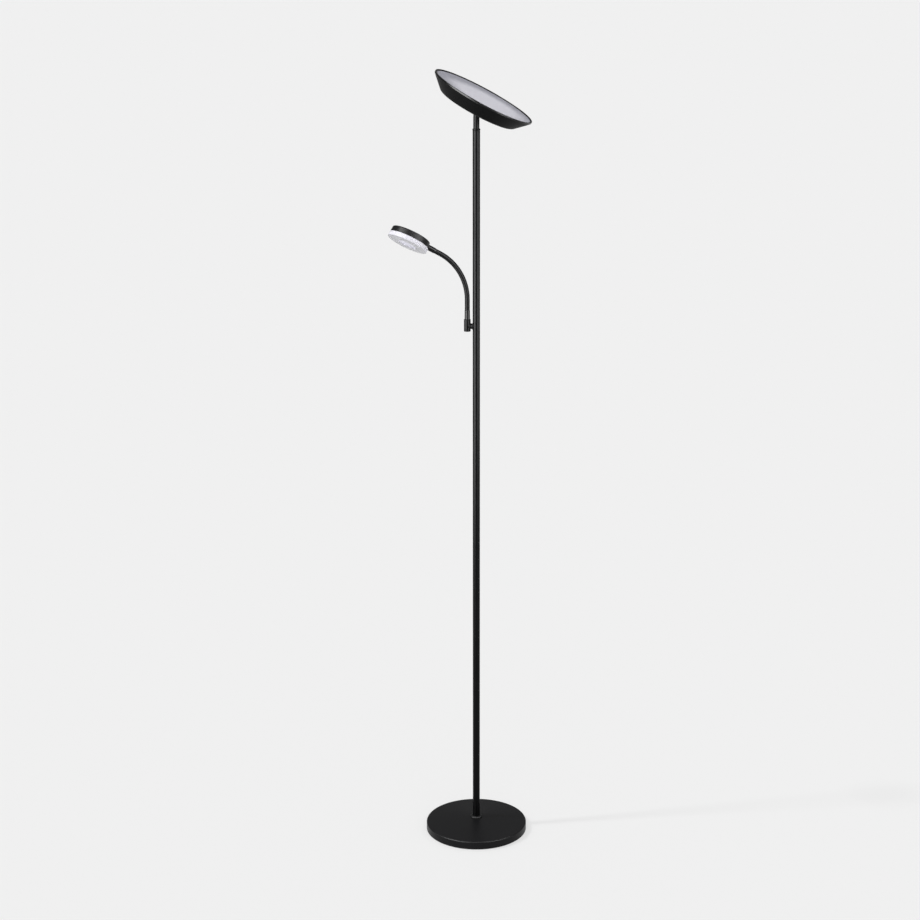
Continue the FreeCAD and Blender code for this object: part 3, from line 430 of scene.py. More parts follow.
@dataclass(frozen=True)
class Pitted(Finish):
    """A cast or foamed surface with pits or cells."""

    cell_size: float = 2.0
    cell_depth: float = 0.15
    mottle_size: float = 25 / 3
    other: str = "#1a1a1a"

    def dress(self, tree: Tree, shader: Node) -> None:
        """Add the cells and a mottled colour.

        Args:
            tree: the material's node tree.
            shader: its principled shader.
        """
        where = self.place(tree)
        # Real pits and cells are under 0.5 mm; they are drawn coarser, so that they show at all.
        cells = add_node(tree, "TexVoronoi", {"Scale": 1 / (self.cell_size * MM)}, {"Vector": where})
        mottle = add_node(tree, "TexNoise", {"Scale": 1 / (self.mottle_size * MM), "Detail": 4.0},
                          {"Vector": where})
        self.relief(tree, shader, cells.outputs["Distance"], self.cell_depth)
        self.tint(tree, shader, mottle.outputs["Fac"], self.other)


@dataclass(frozen=True)
class CircuitBoard(Finish):
    """White solder mask over copper tracks, which show as low steps."""

    track_pitch: float = 6.0
    track_length: float = 18.0
    track_gap: float = 0.5
    track_depth: float = 0.05
    other: str = "#cfd0cc"

    def dress(self, tree: Tree, shader: Node) -> None:
        """Add the tracks.

        Args:
            tree: the material's node tree.
            shader: its principled shader.
        """
        where = self.place(tree)
        tracks = add_node(tree, "TexBrick", {"Scale": 1.0, "Mortar Size": self.track_gap * MM,
                                             "Brick Width": self.track_length * MM,
                                             "Row Height": self.track_pitch * MM}, {"Vector": where})
        self.tint(tree, shader, tracks.outputs["Fac"], self.other)
        self.relief(tree, shader, tracks.outputs["Fac"], -self.track_depth)


# Satin black with sharp pale streaks, where the round pole mirrors tall soft lights.
POWDER_COAT = PowderCoat("Powder coated steel, satin black", "black_powder_coat", "#050506", 0.3,
                         specular=0.068)
# Flat and nearly without shine, so that the bowl reads as one dark shape.
BOWL_COAT = PowderCoat("Powder coated aluminium, spun, black", "black_powder_coat", "#060607", 0.5,
                       specular=0.03)
# Stretched smooth by rolling, so that a thin grey line of light follows the rim.
EDGE_COAT = PowderCoat("Powder coated aluminium, rolled edge, black", "black_powder_coat", "#060607", 0.24,
                       specular=0.18, roughness_spread=0.0)
# Softer than the pole, and a little paler as a painted highlight for the light that its rounded top
# catches, so that the collar stands out at its foot.
COLLAR_LACQUER = PowderCoat("Turned steel, black lacquer", "black_powder_coat", "#141415", 0.48,
                            specular=0.14)
# Even charcoal from edge to middle, without a glare on the broad top.
BASE_COAT = PowderCoat("Powder coated steel, fine black", "black_powder_coat", "#0e0e0f", 0.38,
                       specular=0.11, lighter="#121214")
# Tight small highlights down the ferrules, like wet ink.
FERRULE_LACQUER = PowderCoat("Turned brass, black lacquer", "black_powder_coat", "#070709", 0.22,
                             specular=0.155, roughness_spread=0.02)
# A dull sheen, broken up by the turns of the wound strip.
SLEEVE_COAT = PowderCoat("Painted steel strip, black", "black_powder_coat", "#080809", 0.34,
                         specular=0.085, peel_size=1.5)
# Charcoal with a soft grain, a shade lighter than the painted metal next to it.
HOUSING_PLASTIC = MouldedPlastic("Moulded ABS, black", "black_plastic", "#09090a", 0.36, specular=0.11,
                                 other="#101012")
# Etched dull, so that the flat back stays dark where it faces a light at a low angle.
BACK_PLASTIC = MouldedPlastic("Moulded ABS, etched matt, black", "black_plastic", "#0c0c0d", 0.7,
                              specular=0.008, other="#121214")
# Dead black with open cells, a soft shadow line under the base.
FOAM = Pitted("Closed-cell foam, black", "foam_pad", "#101010", 0.85, specular=0.2, cell_size=1.6,
              cell_depth=0.3)
# Dark grey and pitted by the sand of its mould.
CAST_IRON = Pitted("Sand-cast iron, grey", "cast_iron_weight", "#4a4a4a", 0.7, metallic=0.9,
                   cell_size=3.0, other="#3a3836")
# Bright bluish grey with a fine draw of lines.
ZINC = BrushedMetal("Zinc-plated steel", "zinc_plated_steel", "#a6a8aa", 0.35, metallic=1.0)
# Pale silver with the rolling's lines.
ALUMINIUM = BrushedMetal("Rolled aluminium sheet", "aluminium_sheet", "#c8c9cb", 0.35, metallic=1.0,
                         other="#b2b3b6")
# Soft black without shine.
RUBBER = Pitted("Moulded rubber, black", "grommet_rubber", "#141414", 0.6, specular=0.3, cell_size=1.2,
                cell_depth=0.03)
# Smooth black with a waxy shine.
JACKET = MouldedPlastic("Extruded PVC, black", "cable_jacket", "#151515", 0.4)
# Milky cream, like a plastic washer.
NYLON = MouldedPlastic("Moulded nylon, natural", "friction_nylon", "#cdcabf", 0.45, other="#c3c0b4")
# Cool white, slightly cloudy.
TERMINAL = MouldedPlastic("Moulded nylon, white", "terminal_nylon", "#d3d5d2", 0.45, other="#c6c8c5")
# Plain white case with a fine grain.
DRIVER = MouldedPlastic("Moulded polycarbonate, white", "driver_case", "#d8d8d8", 0.4, other="#cccccc")
# White mask with the faint steps of the tracks under it.
BOARD = CircuitBoard("Circuit board, white mask", "white_circuit_board", "#dedfda", 0.35)
# Warm yellow dots.
CHIP = MouldedPlastic("Phosphor silicone, yellow", "light_chip", "#e3c25a", 0.3, other="#d9b44a")


# Small tools for meshes


def put(name: str, data: bpy.types.ID) -> Piece:
    """Put an object in the scene.

    Args:
        name: its name.
        data: its mesh, light or camera.

    Returns:
        The object.
    """
    made = bpy.data.objects.new(name, data)
    bpy.context.scene.collection.objects.link(made)
    return made


@dataclass(frozen=True)
class Corner:
    """A corner of a turned outline: its radius, height and rounding, in millimetres."""

    radius: float
    height: float
    rounding: float = 0.0


def corners(*values: tuple[float, ...]) -> list[Corner]:
    """Turn plain tuples into corners."""
    return [Corner(*value) for value in values]


def inner_wall(outline: list[Corner], wall: float) -> list[Corner]:
    """Move an open outline to its left, for the inside of a pressed or spun shell.

    Args:
        outline: the outside, in order.
        wall: the wall's thickness.

    Returns:
        The inside, in the same order.
    """
    points = [Vector((c.radius, c.height)) for c in outline]
    legs = [(b - a).normalized() for a, b in zip(points, points[1:])]
    sides = [Vector((-leg.y, leg.x)) for leg in legs]
    moved = [Corner(*(points[0] + sides[0] * wall))]
    for i in range(1, len(points) - 1):
        before, after = sides[i - 1], sides[i]
        place = points[i] + (before + after) * (wall / (1 + before.dot(after)))
        change = -wall if legs[i - 1].cross(legs[i]) > 0 else wall
        rounding = max(outline[i].rounding + change, 0.0) if outline[i].rounding else 0.0
        moved.append(Corner(place.x, place.y, rounding))
    moved.append(Corner(*(points[-1] + sides[-1] * wall)))
    return moved


def reach(before: Corner, corner: Corner, after: Corner) -> float:
    """Work out how far from a corner its rounding starts.

    Args:
        before: the corner before it in the outline.
        corner: the corner.
        after: the corner after it.

    Returns:
        The distance, in millimetres.
    """
    here = Vector((corner.radius, corner.height))
    back = Vector((before.radius, before.height)) - here
    ahead = Vector((after.radius, after.height)) - here
    return corner.rounding / math.tan(back.angle(ahead) / 2) if corner.rounding else 0.0


def supported(outline: list[Corner], clear: float = 1.15, fill: float = 0.9) -> list[Corner]:
    """Add a ring close to each rounding, so that the shading of a long wall stays flat up to it.

    Args:
        outline: the closed outline.
        clear: how far from the corner a ring lies, as a share of where the rounding starts.
        fill: the share of a wall that its two rings' distances may take up; past it, it gets none.

    Returns:
        The outline with the rings added.
    """
    count = len(outline)
    spans = [clear * reach(outline[i - 1], outline[i], outline[(i + 1) % count]) for i in range(count)]
    made = []
    for i, corner in enumerate(outline):
        after = outline[(i + 1) % count]
        start, end = Vector((corner.radius, corner.height)), Vector((after.radius, after.height))
        leg = (end - start).length
        made.append(corner)
        if spans[i] + spans[(i + 1) % count] < fill * leg:
            places = [place for place in (spans[i], leg - spans[(i + 1) % count]) if 0 < place < leg]
            made += [Corner(*start.lerp(end, place / leg)) for place in places]
    return made


def lathe(outline: list[Corner], segments: int, arc_steps: int = 5) -> Shape:
    """Spin a closed outline about Z and round its corners with bevels.

    Args:
        outline: the corners in order; an outline that starts and ends on the axis isn't joined there.
        segments: steps round the axis.
        arc_steps: steps of each rounding.

    Returns:
        The closed shape.
    """
    shape = bmesh.new()
    outline = supported(outline)
    ring = [shape.verts.new((c.radius * MM, 0, c.height * MM)) for c in outline]
    edges = [shape.edges.new(pair) for pair in zip(ring, ring[1:])]
    if outline[0].radius or outline[-1].radius:
        edges.append(shape.edges.new((ring[-1], ring[0])))
    bmesh.ops.spin(shape, geom=ring + edges, cent=(0, 0, 0), axis=(0, 0, 1), dvec=(0, 0, 0),
                   angle=2 * math.pi, space=Matrix.Identity(4), steps=segments, use_merge=True,
                   use_normal_flip=False, use_duplicate=False)
    bmesh.ops.remove_doubles(shape, verts=shape.verts, dist=SEAM)
    bmesh.ops.recalc_face_normals(shape, faces=shape.faces)
    for i, corner in enumerate(outline):
        if corner.rounding:
            round_ring(shape, outline[i - 1], corner, outline[(i + 1) % len(outline)], arc_steps)
    return shape


def round_ring(shape: Shape, before: Corner, corner: Corner, after: Corner, arc_steps: int) -> None:
    """Bevel the ring of edges at one corner of a turned shape.

    Args:
        shape: the turned shape.
        before: the corner before it in the outline.
        corner: the corner to round.
        after: the corner after it.
        arc_steps: steps of the rounding.
    """

    def on_ring(vert: bmesh.types.BMVert) -> bool:
        """Tell whether a vertex lies on the corner's ring."""
        across = math.hypot(vert.co.x, vert.co.y) - corner.radius * MM
        return abs(across) < SAME_PLACE and abs(vert.co.z - corner.height * MM) < SAME_PLACE

    ring = [e for e in shape.edges if on_ring(e.verts[0]) and on_ring(e.verts[1])]
    bmesh.ops.bevel(shape, geom=ring, offset=reach(before, corner, after) * MM, offset_type="OFFSET",
                    segments=arc_steps, profile=0.5, affect="EDGES", material=-1, clamp_overlap=False)


def tube_outline(outer: float, inner: float, low: float, high: float, rounding: float) -> list[Corner]:
    """Outline of a tube with rounded outer ends."""
    return corners((inner, low), (outer, low, rounding), (outer, high, rounding), (inner, high))


def combine(shape: Shape, other: Shape, operation: str) -> Shape:
    """Cut one closed shape out of another, or join the two.

    Args:
        shape: the first shape; it is freed.
        other: the second shape; it is freed.
        operation: DIFFERENCE to cut the second out of the first, or UNION.

    Returns:
        The new shape.
    """
    held = []
    for name, source in (("first", shape), ("second", other)):
        mesh = bpy.data.meshes.new(name)
        source.to_mesh(mesh)
        source.free()
        held.append(put(name, mesh))
    joint = held[0].modifiers.new("Combine", "BOOLEAN")
    joint.operation = operation
    joint.solver = "EXACT"
    joint.object = held[1]
    view = bpy.context.evaluated_depsgraph_get()
    result = bpy.data.meshes.new_from_object(held[0].evaluated_get(view))
    made = bmesh.new()
    made.from_mesh(result)
    for thing in held:
        mesh = thing.data
        bpy.data.objects.remove(thing)
        bpy.data.meshes.remove(mesh)
    bpy.data.meshes.remove(result)
    return made


def show(shape: Shape, name: str, finish: Finish, stands_for: tuple[str, ...] = (),
         place: Matrix | None = None, crease: float = 32.0, second: Finish | None = None) -> Piece:
    """Make a finished piece from a shape: placed, smooth between its creases, and with its material.

    Args:
        shape: the shape, at its own origin; it is freed.
        name: the piece's name.
        finish: its finish.
        stands_for: the CAD nodes that it replaces.
        place: where it goes, in metres.
        crease: the angle in degrees past which an edge stays sharp.
        second: the finish of the faces whose material index is 1.

    Returns:
        The piece.
    """
    if place is not None:
        shape.transform(place)
    for face in shape.faces:
        face.smooth = True
    for edge in shape.edges:
        edge.smooth = len(edge.link_faces) == 2 and edge.calc_face_angle() < math.radians(crease)
    mesh = bpy.data.meshes.new(name)
    shape.to_mesh(mesh)
    shape.free()
    for coat in (finish, second) if second else (finish,):
        mesh.materials.append(coat.material())
    piece = put(name, mesh)
    if stands_for:
        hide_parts(*stands_for)
    return piece


def dress_nodes(finish: Finish, *names: str) -> list[Piece]:
    """Give CAD nodes that stay as they are a finish.

    Args:
        finish: the finish.
        names: the nodes.

    Returns:
        The nodes' pieces.
    """
    pieces = [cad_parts[name] for name in names]
    for piece in pieces:
        piece.data.materials.clear()
        piece.data.materials.append(finish.material())
    return pieces


# The base


@dataclass
class WeightedBase:
    """The round coned base with its collar, pad, weight and grommet. Sizes in millimetres."""

    radius: float = 115.0
    edge_height: float = 19.2
    seat_height: float = 27.9
    seat_radius: float = 14.0
    edge_round: float = 2.5
    seat_round: float = 6.0
    wall: float = 1.2
    lip_height: float = 1.5
    stud_radius: float = 5.0
    collar_radius: float = 13.4
    collar_height: float = 4.4
    collar_floor: float = 1.5
    collar_round: float = 3.0
    small_round: float = 0.3
    pole_radius: float = 8.0
    cable_height: float = 6.2
    grommet_neck: float = 4.0
    grommet_flange: float = 5.4
    grommet_flange_thickness: float = 1.6
    grommet_bore: float = 2.3
    grommet_play: float = 0.3
    grommet_inner_rounds: Triple = (0.3, 0.4, 0.2)
    grommet_outer_rounds: Triple = (0.2, 0.8, 0.5)
    hole_length: float = 20.0
    segments: int = 160
    collar_segments: int = 64
    grommet_segments: int = 40
    hole_segments: int = 32

    def cover(self) -> Piece:
        """Make the pressed cover.

        Returns:
            The piece.
        """
        outside = corners((self.radius, self.lip_height), (self.radius, self.edge_height, self.edge_round),
                          (self.seat_radius, self.seat_height, self.seat_round),
                          (self.stud_radius, self.seat_height))
        shape = lathe(outside + inner_wall(outside, self.wall)[::-1], self.segments)
        hole = bmesh.new()
        bmesh.ops.create_cone(hole, cap_ends=True, segments=self.hole_segments,
                              radius1=self.grommet_neck * MM, radius2=self.grommet_neck * MM,
                              depth=self.hole_length * MM,
                              matrix=Matrix.Translation((0, self.radius * MM, self.cable_height * MM))
                              @ Matrix.Rotation(math.pi / 2, 4, "X"))
        return show(combine(shape, hole, "DIFFERENCE"), "base_cover_skin", BASE_COAT, ("base_cover",))

    def collar(self) -> Piece:
        """Make the collar round the pole's foot.

        Returns:
            The piece.
        """
        top = self.seat_height + self.collar_height
        floor = self.seat_height + self.collar_floor
        shape = lathe(corners((self.stud_radius, self.seat_height),
                              (self.collar_radius, self.seat_height, self.small_round),
                              (self.collar_radius, top, self.collar_round),
                              (self.pole_radius, top, self.small_round), (self.pole_radius, floor),
                              (self.stud_radius, floor)), self.collar_segments)
        return show(shape, "foot_collar_skin", COLLAR_LACQUER, ("foot_collar",))

    def grommet(self) -> Piece:
        """Make the grommet at the back.

        Returns:
            The piece.
        """
        flange = self.grommet_flange_thickness
        inner = self.radius - self.wall - self.grommet_play
        outer = self.radius
        mouth_in, rim_in, foot_in = self.grommet_inner_rounds
        foot_out, rim_out, mouth_out = self.grommet_outer_rounds
        shape = lathe(corners((self.grommet_bore, inner - flange, mouth_in),
                              (self.grommet_flange, inner - flange, rim_in),
                              (self.grommet_flange, inner, foot_in), (self.grommet_neck, inner),
                              (self.grommet_neck, outer), (self.grommet_flange, outer, foot_out),
                              (self.grommet_flange, outer + flange, rim_out),
                              (self.grommet_bore, outer + flange, mouth_out)), self.grommet_segments)
        place = Matrix.Translation((0, 0, self.cable_height * MM)) @ Matrix.Rotation(-math.pi / 2, 4, "X")
        return show(shape, "cord_grommet_skin", RUBBER, ("cord_grommet",), place)

    def build(self) -> list[Piece]:
        """Make and dress the whole base.

        Returns:
            Its pieces.
        """
        pieces = [self.cover(), self.collar(), self.grommet()]
        for piece in pieces:
            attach(piece, "stand")
        return pieces + (dress_nodes(FOAM, "base_pad") + dress_nodes(CAST_IRON, "base_weight")
                         + dress_nodes(ZINC, "base_stud", "stud_washer", "stud_nut"))


# The pole


@dataclass
class Pole:
    """The three tubes, the bead on top and the forked neck. Sizes in millimetres."""

    radius: float = 8.0
    bore: float = 7.0
    foot: float = 29.4
    lower_seam: float = 600.0
    upper_seam: float = 1188.0
    top: float = 1597.0
    end_round: float = 0.25
    cap_radius: float = 8.4
    cap_height: float = 4.0
    cap_round: float = 1.2
    thread_radius: float = 5.0
    segments: int = 64

    def tubes(self) -> list[Piece]:
        """Make the three tubes, whose rounded ends show the seams.

        Returns:
            The pieces.
        """
        ends = (self.foot, self.lower_seam, self.upper_seam, self.top)
        pieces = []
        for name, low, high in zip(("pole_lower", "pole_middle", "pole_upper"), ends, ends[1:]):
            outline = tube_outline(self.radius, self.bore, low, high, self.end_round)
            pieces.append(show(lathe(outline, self.segments, arc_steps=2), name + "_skin", POWDER_COAT,
                               (name,)))
        return pieces

    def cap(self) -> Piece:
        """Make the bead on top.

        Returns:
            The piece.
        """
        outline = tube_outline(self.cap_radius, self.thread_radius, self.top, self.top + self.cap_height,
                               self.cap_round)
        return show(lathe(outline, self.segments), "pole_cap_skin", POWDER_COAT, ("pole_cap",))

    def build(self) -> list[Piece]:
        """Make and dress the pole and what is inside it.

        Returns:
            Its pieces.
        """
        pieces = [*self.tubes(), self.cap()]
        for piece in pieces:
            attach(piece, "stand")
        return pieces + (dress_nodes(POWDER_COAT, "hinge_neck") + dress_nodes(JACKET, "feed_cable")
                         + dress_nodes(ZINC, "pole_inserts", "pole_nipples", "arm_anchor", "stub_screw"))


# The reading arm


@dataclass
class ReadingArm:
    """The socket, ferrules and gooseneck. Sizes in millimetres.

    The arm frame has its origin on the socket's axis on the floor's level, X outwards and Z up.
    """

    pole_radius: float = 8.0
    stub_length: float = 4.75
    swivel: float = 24.0
    nut_flats: float = 9.0
    nut_room: float = 0.4
    socket_wall: float = 1.65
    socket_bottom: float = 1168.0
    socket_top: float = 1194.1
    socket_web: float = 5.6
    socket_round: float = 0.5
    seam_round: float = 0.25
    cap_thickness: float = 1.5
    cap_round: float = 0.6
    cap_seam_round: float = 0.2
    plug_length: float = 2.5
    spindle_radius: float = 3.5
    spindle_bore: float = 2.0
    spindle_bottom: float = 1184.1
    spindle_play: float = 0.06
    ferrule_gap: float = 0.3
    ferrule_foot: float = 5.95
    ferrule_top_radius: float = 5.7
    ferrule_length: float = 20.2
    ferrule_round: float = 0.5
    straight: float = 22.8
    bend_radius: float = 115.5
    bend_angle: float = 61.1
    end_straight: float = 11.8
    links: int = 6
    sleeve_sink: float = 1.0
    sleeve_radius: float = 5.5
    wall: float = 1.2
    rib_pitch: float = 2.6
    rib_depth: float = 0.28
    rib_sharpness: int = 6
    rib_crease: float = 80.0
    ring_step: float = 0.52
    least_steps: int = 4
    sides: int = 36
    segments: int = 56

    @property
    def cavity_radius(self) -> float:
        """Radius inside the socket, which clears the swivel's nut."""
        return self.nut_flats / math.sqrt(3) + self.nut_room

    @property
    def socket_radius(self) -> float:
        """Radius of the socket's outside."""
        return self.cavity_radius + self.socket_wall

    @property
    def socket_offset(self) -> float:
        """Distance from the pole's axis to the socket's."""
        return self.pole_radius + self.stub_length + self.socket_radius

    @property
    def frame(self) -> Matrix:
        """The arm frame in the lamp's frame."""
        return (Matrix.Translation((-self.socket_offset * MM, 0, 0))
                @ Matrix.Rotation(math.radians(180 + self.swivel), 4, "Z"))

    @property
    def ferrule_top(self) -> float:
        """Height of the ferrule's top, where distances along the gooseneck start."""
        return self.socket_top + self.ferrule_gap + self.ferrule_length

    @property
    def bend_length(self) -> float:
        """Length of the gooseneck's round stretch."""
        return self.bend_radius * math.radians(self.bend_angle)

    @property
    def length(self) -> float:
        """Length along the gooseneck, up to the reading light's ferrule."""
        return self.straight + self.bend_length + self.end_straight

    def heading(self, distance: float) -> float:
        """Angle from upright at a distance along the gooseneck, in radians."""
        return min(max(distance - self.straight, 0.0), self.bend_length) / self.bend_radius

    def point(self, distance: float) -> Vector:
        """Find a point of the gooseneck's middle line.

        Args:
            distance: how far along the gooseneck it lies.

        Returns:
            The point in the arm frame, in metres.
        """
        angle = self.heading(distance)
        before = min(distance, self.straight)
        beyond = max(distance - self.straight - self.bend_length, 0.0)
        out = self.bend_radius * (1 - math.cos(angle)) + beyond * math.sin(angle)
        up = before + self.bend_radius * math.sin(angle) + beyond * math.cos(angle)
        return Vector((out, 0, self.ferrule_top + up)) * MM

    def rib(self, distance: float, angle: float) -> float:
        """Work out the radius of the wound strip at a place on its surface.

        Args:
            distance: how far along the gooseneck the place lies.
            angle: where it lies round the gooseneck, in radians.

        Returns:
            The radius, in millimetres.
        """
        turn = distance / self.rib_pitch - angle / (2 * math.pi)
        groove = abs(math.cos(math.pi * turn)) ** self.rib_sharpness
        return self.sleeve_radius - self.rib_depth * groove

    def sleeve(self, start: float, end: float) -> Shape:
        """Make a stretch of the gooseneck between two distances.

        Args:
            start: distance of its lower end.
            end: distance of its upper end.

        Returns:
            The closed shape, in the lamp's frame.
        """
        shape = bmesh.new()
        bmesh.ops.create_circle(shape, cap_ends=True, segments=self.sides, radius=self.sleeve_radius * MM,
                                matrix=Matrix.Translation((0, 0, start * MM)))
        edges = shape.edges[:]
        steps = max(self.least_steps, round((end - start) / self.ring_step))
        for _ in range(steps):
            grown = bmesh.ops.extrude_edge_only(shape, edges=edges)["geom"]
            verts = [g for g in grown if isinstance(g, bmesh.types.BMVert)]
            fresh = set(verts)
            edges = [g for g in grown if isinstance(g, bmesh.types.BMEdge)
                     and g.verts[0] in fresh and g.verts[1] in fresh]
            bmesh.ops.translate(shape, verts=verts, vec=(0, 0, (end - start) / steps * MM))
        bmesh.ops.holes_fill(shape, edges=edges)
        bmesh.ops.recalc_face_normals(shape, faces=shape.faces)
        for vert in shape.verts:
            distance = vert.co.z / MM
            radius = self.rib(distance, math.atan2(vert.co.y, vert.co.x)) * MM
            around = Vector((vert.co.x, vert.co.y, 0)).normalized() * radius
            turn = Matrix.Rotation(self.heading(distance), 3, "Y")
            vert.co = self.point(distance) + turn @ around
        shape.transform(self.frame)
        return shape

    def gooseneck(self) -> list[Piece]:
        """Make the gooseneck as stretches that each reach across one joint.

        Returns:
            The pieces, from the socket's side outwards.
        """
        step = self.length / self.links
        middles = [step * (i + 0.5) for i in range(self.links)]
        pieces = [show(self.sleeve(-self.sleeve_sink, middles[0]), "gooseneck_sleeve_1", SLEEVE_COAT,
                       ("gooseneck_1",), crease=self.rib_crease)]
        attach(pieces[0], "arm_root")
        ends = middles + [self.length + self.sleeve_sink]
        for i in range(1, self.links + 1):
            start, end = ends[i - 1], ends[i]
            nodes = (f"gooseneck_{i + 1}",) if i < self.links else ()
            piece = show(self.sleeve(start, end), f"gooseneck_sleeve_{i + 1}", SLEEVE_COAT, nodes,
                         crease=self.rib_crease)
            self.frame @ self.point(start)
            self.frame @ self.point(end)
            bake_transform(piece)
            pieces.append(piece)
        return pieces

    def socket(self) -> list[Piece]:
        """Make the socket's barrel and its cap.

        Returns:
            The pieces.
        """
        place = Matrix.Translation((-self.socket_offset * MM, 0, 0))
        wall = self.socket_bottom + self.cap_thickness
        web = self.socket_top - self.socket_web
        bore = self.spindle_radius + self.spindle_play
        barrel = lathe(corners((self.cavity_radius, wall), (self.socket_radius, wall, self.seam_round),
                               (self.socket_radius, self.socket_top, self.socket_round),
                               (bore, self.socket_top), (bore, web), (self.cavity_radius, web)),
                       self.segments, arc_steps=3)
        plug = wall + self.plug_length
        cap = lathe(corners((0, self.socket_bottom),
                            (self.socket_radius, self.socket_bottom, self.cap_round),
                            (self.socket_radius, wall, self.cap_seam_round), (self.cavity_radius, wall),
                            (self.cavity_radius, plug), (0, plug)), self.segments, arc_steps=3)
        return [show(barrel, "arm_socket_skin", POWDER_COAT, ("arm_socket",), place),
                show(cap, "socket_cap_skin", POWDER_COAT, ("socket_cap",), place)]

    def ferrule(self) -> Piece:
        """Make the tapered ferrule that turns in the socket.

        Returns:
            The piece.
        """
        low = self.socket_top + self.ferrule_gap
        high = low + self.ferrule_length
        shape = lathe(corners((self.spindle_bore, self.spindle_bottom),
                              (self.spindle_radius, self.spindle_bottom),
                              (self.spindle_radius, low), (self.ferrule_foot, low, self.ferrule_round),
                              (self.ferrule_top_radius, high, self.ferrule_round),
                              (self.spindle_bore, high)), self.segments, arc_steps=4)
        return show(shape, "arm_ferrule_skin", FERRULE_LACQUER, ("arm_ferrule",), self.frame)

    def build(self) -> list[Piece]:
        """Make and dress the arm.

        Returns:
            Its pieces.
        """
        pieces = self.socket()
        for piece in pieces:
            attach(piece, "stand")
        pieces.append(self.ferrule())
        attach(pieces[-1], "arm_root")
        return pieces + (self.gooseneck() + dress_nodes(POWDER_COAT, "arm_stub")
                         + dress_nodes(ZINC, "swivel_washer", "swivel_nut"))


# The reading light


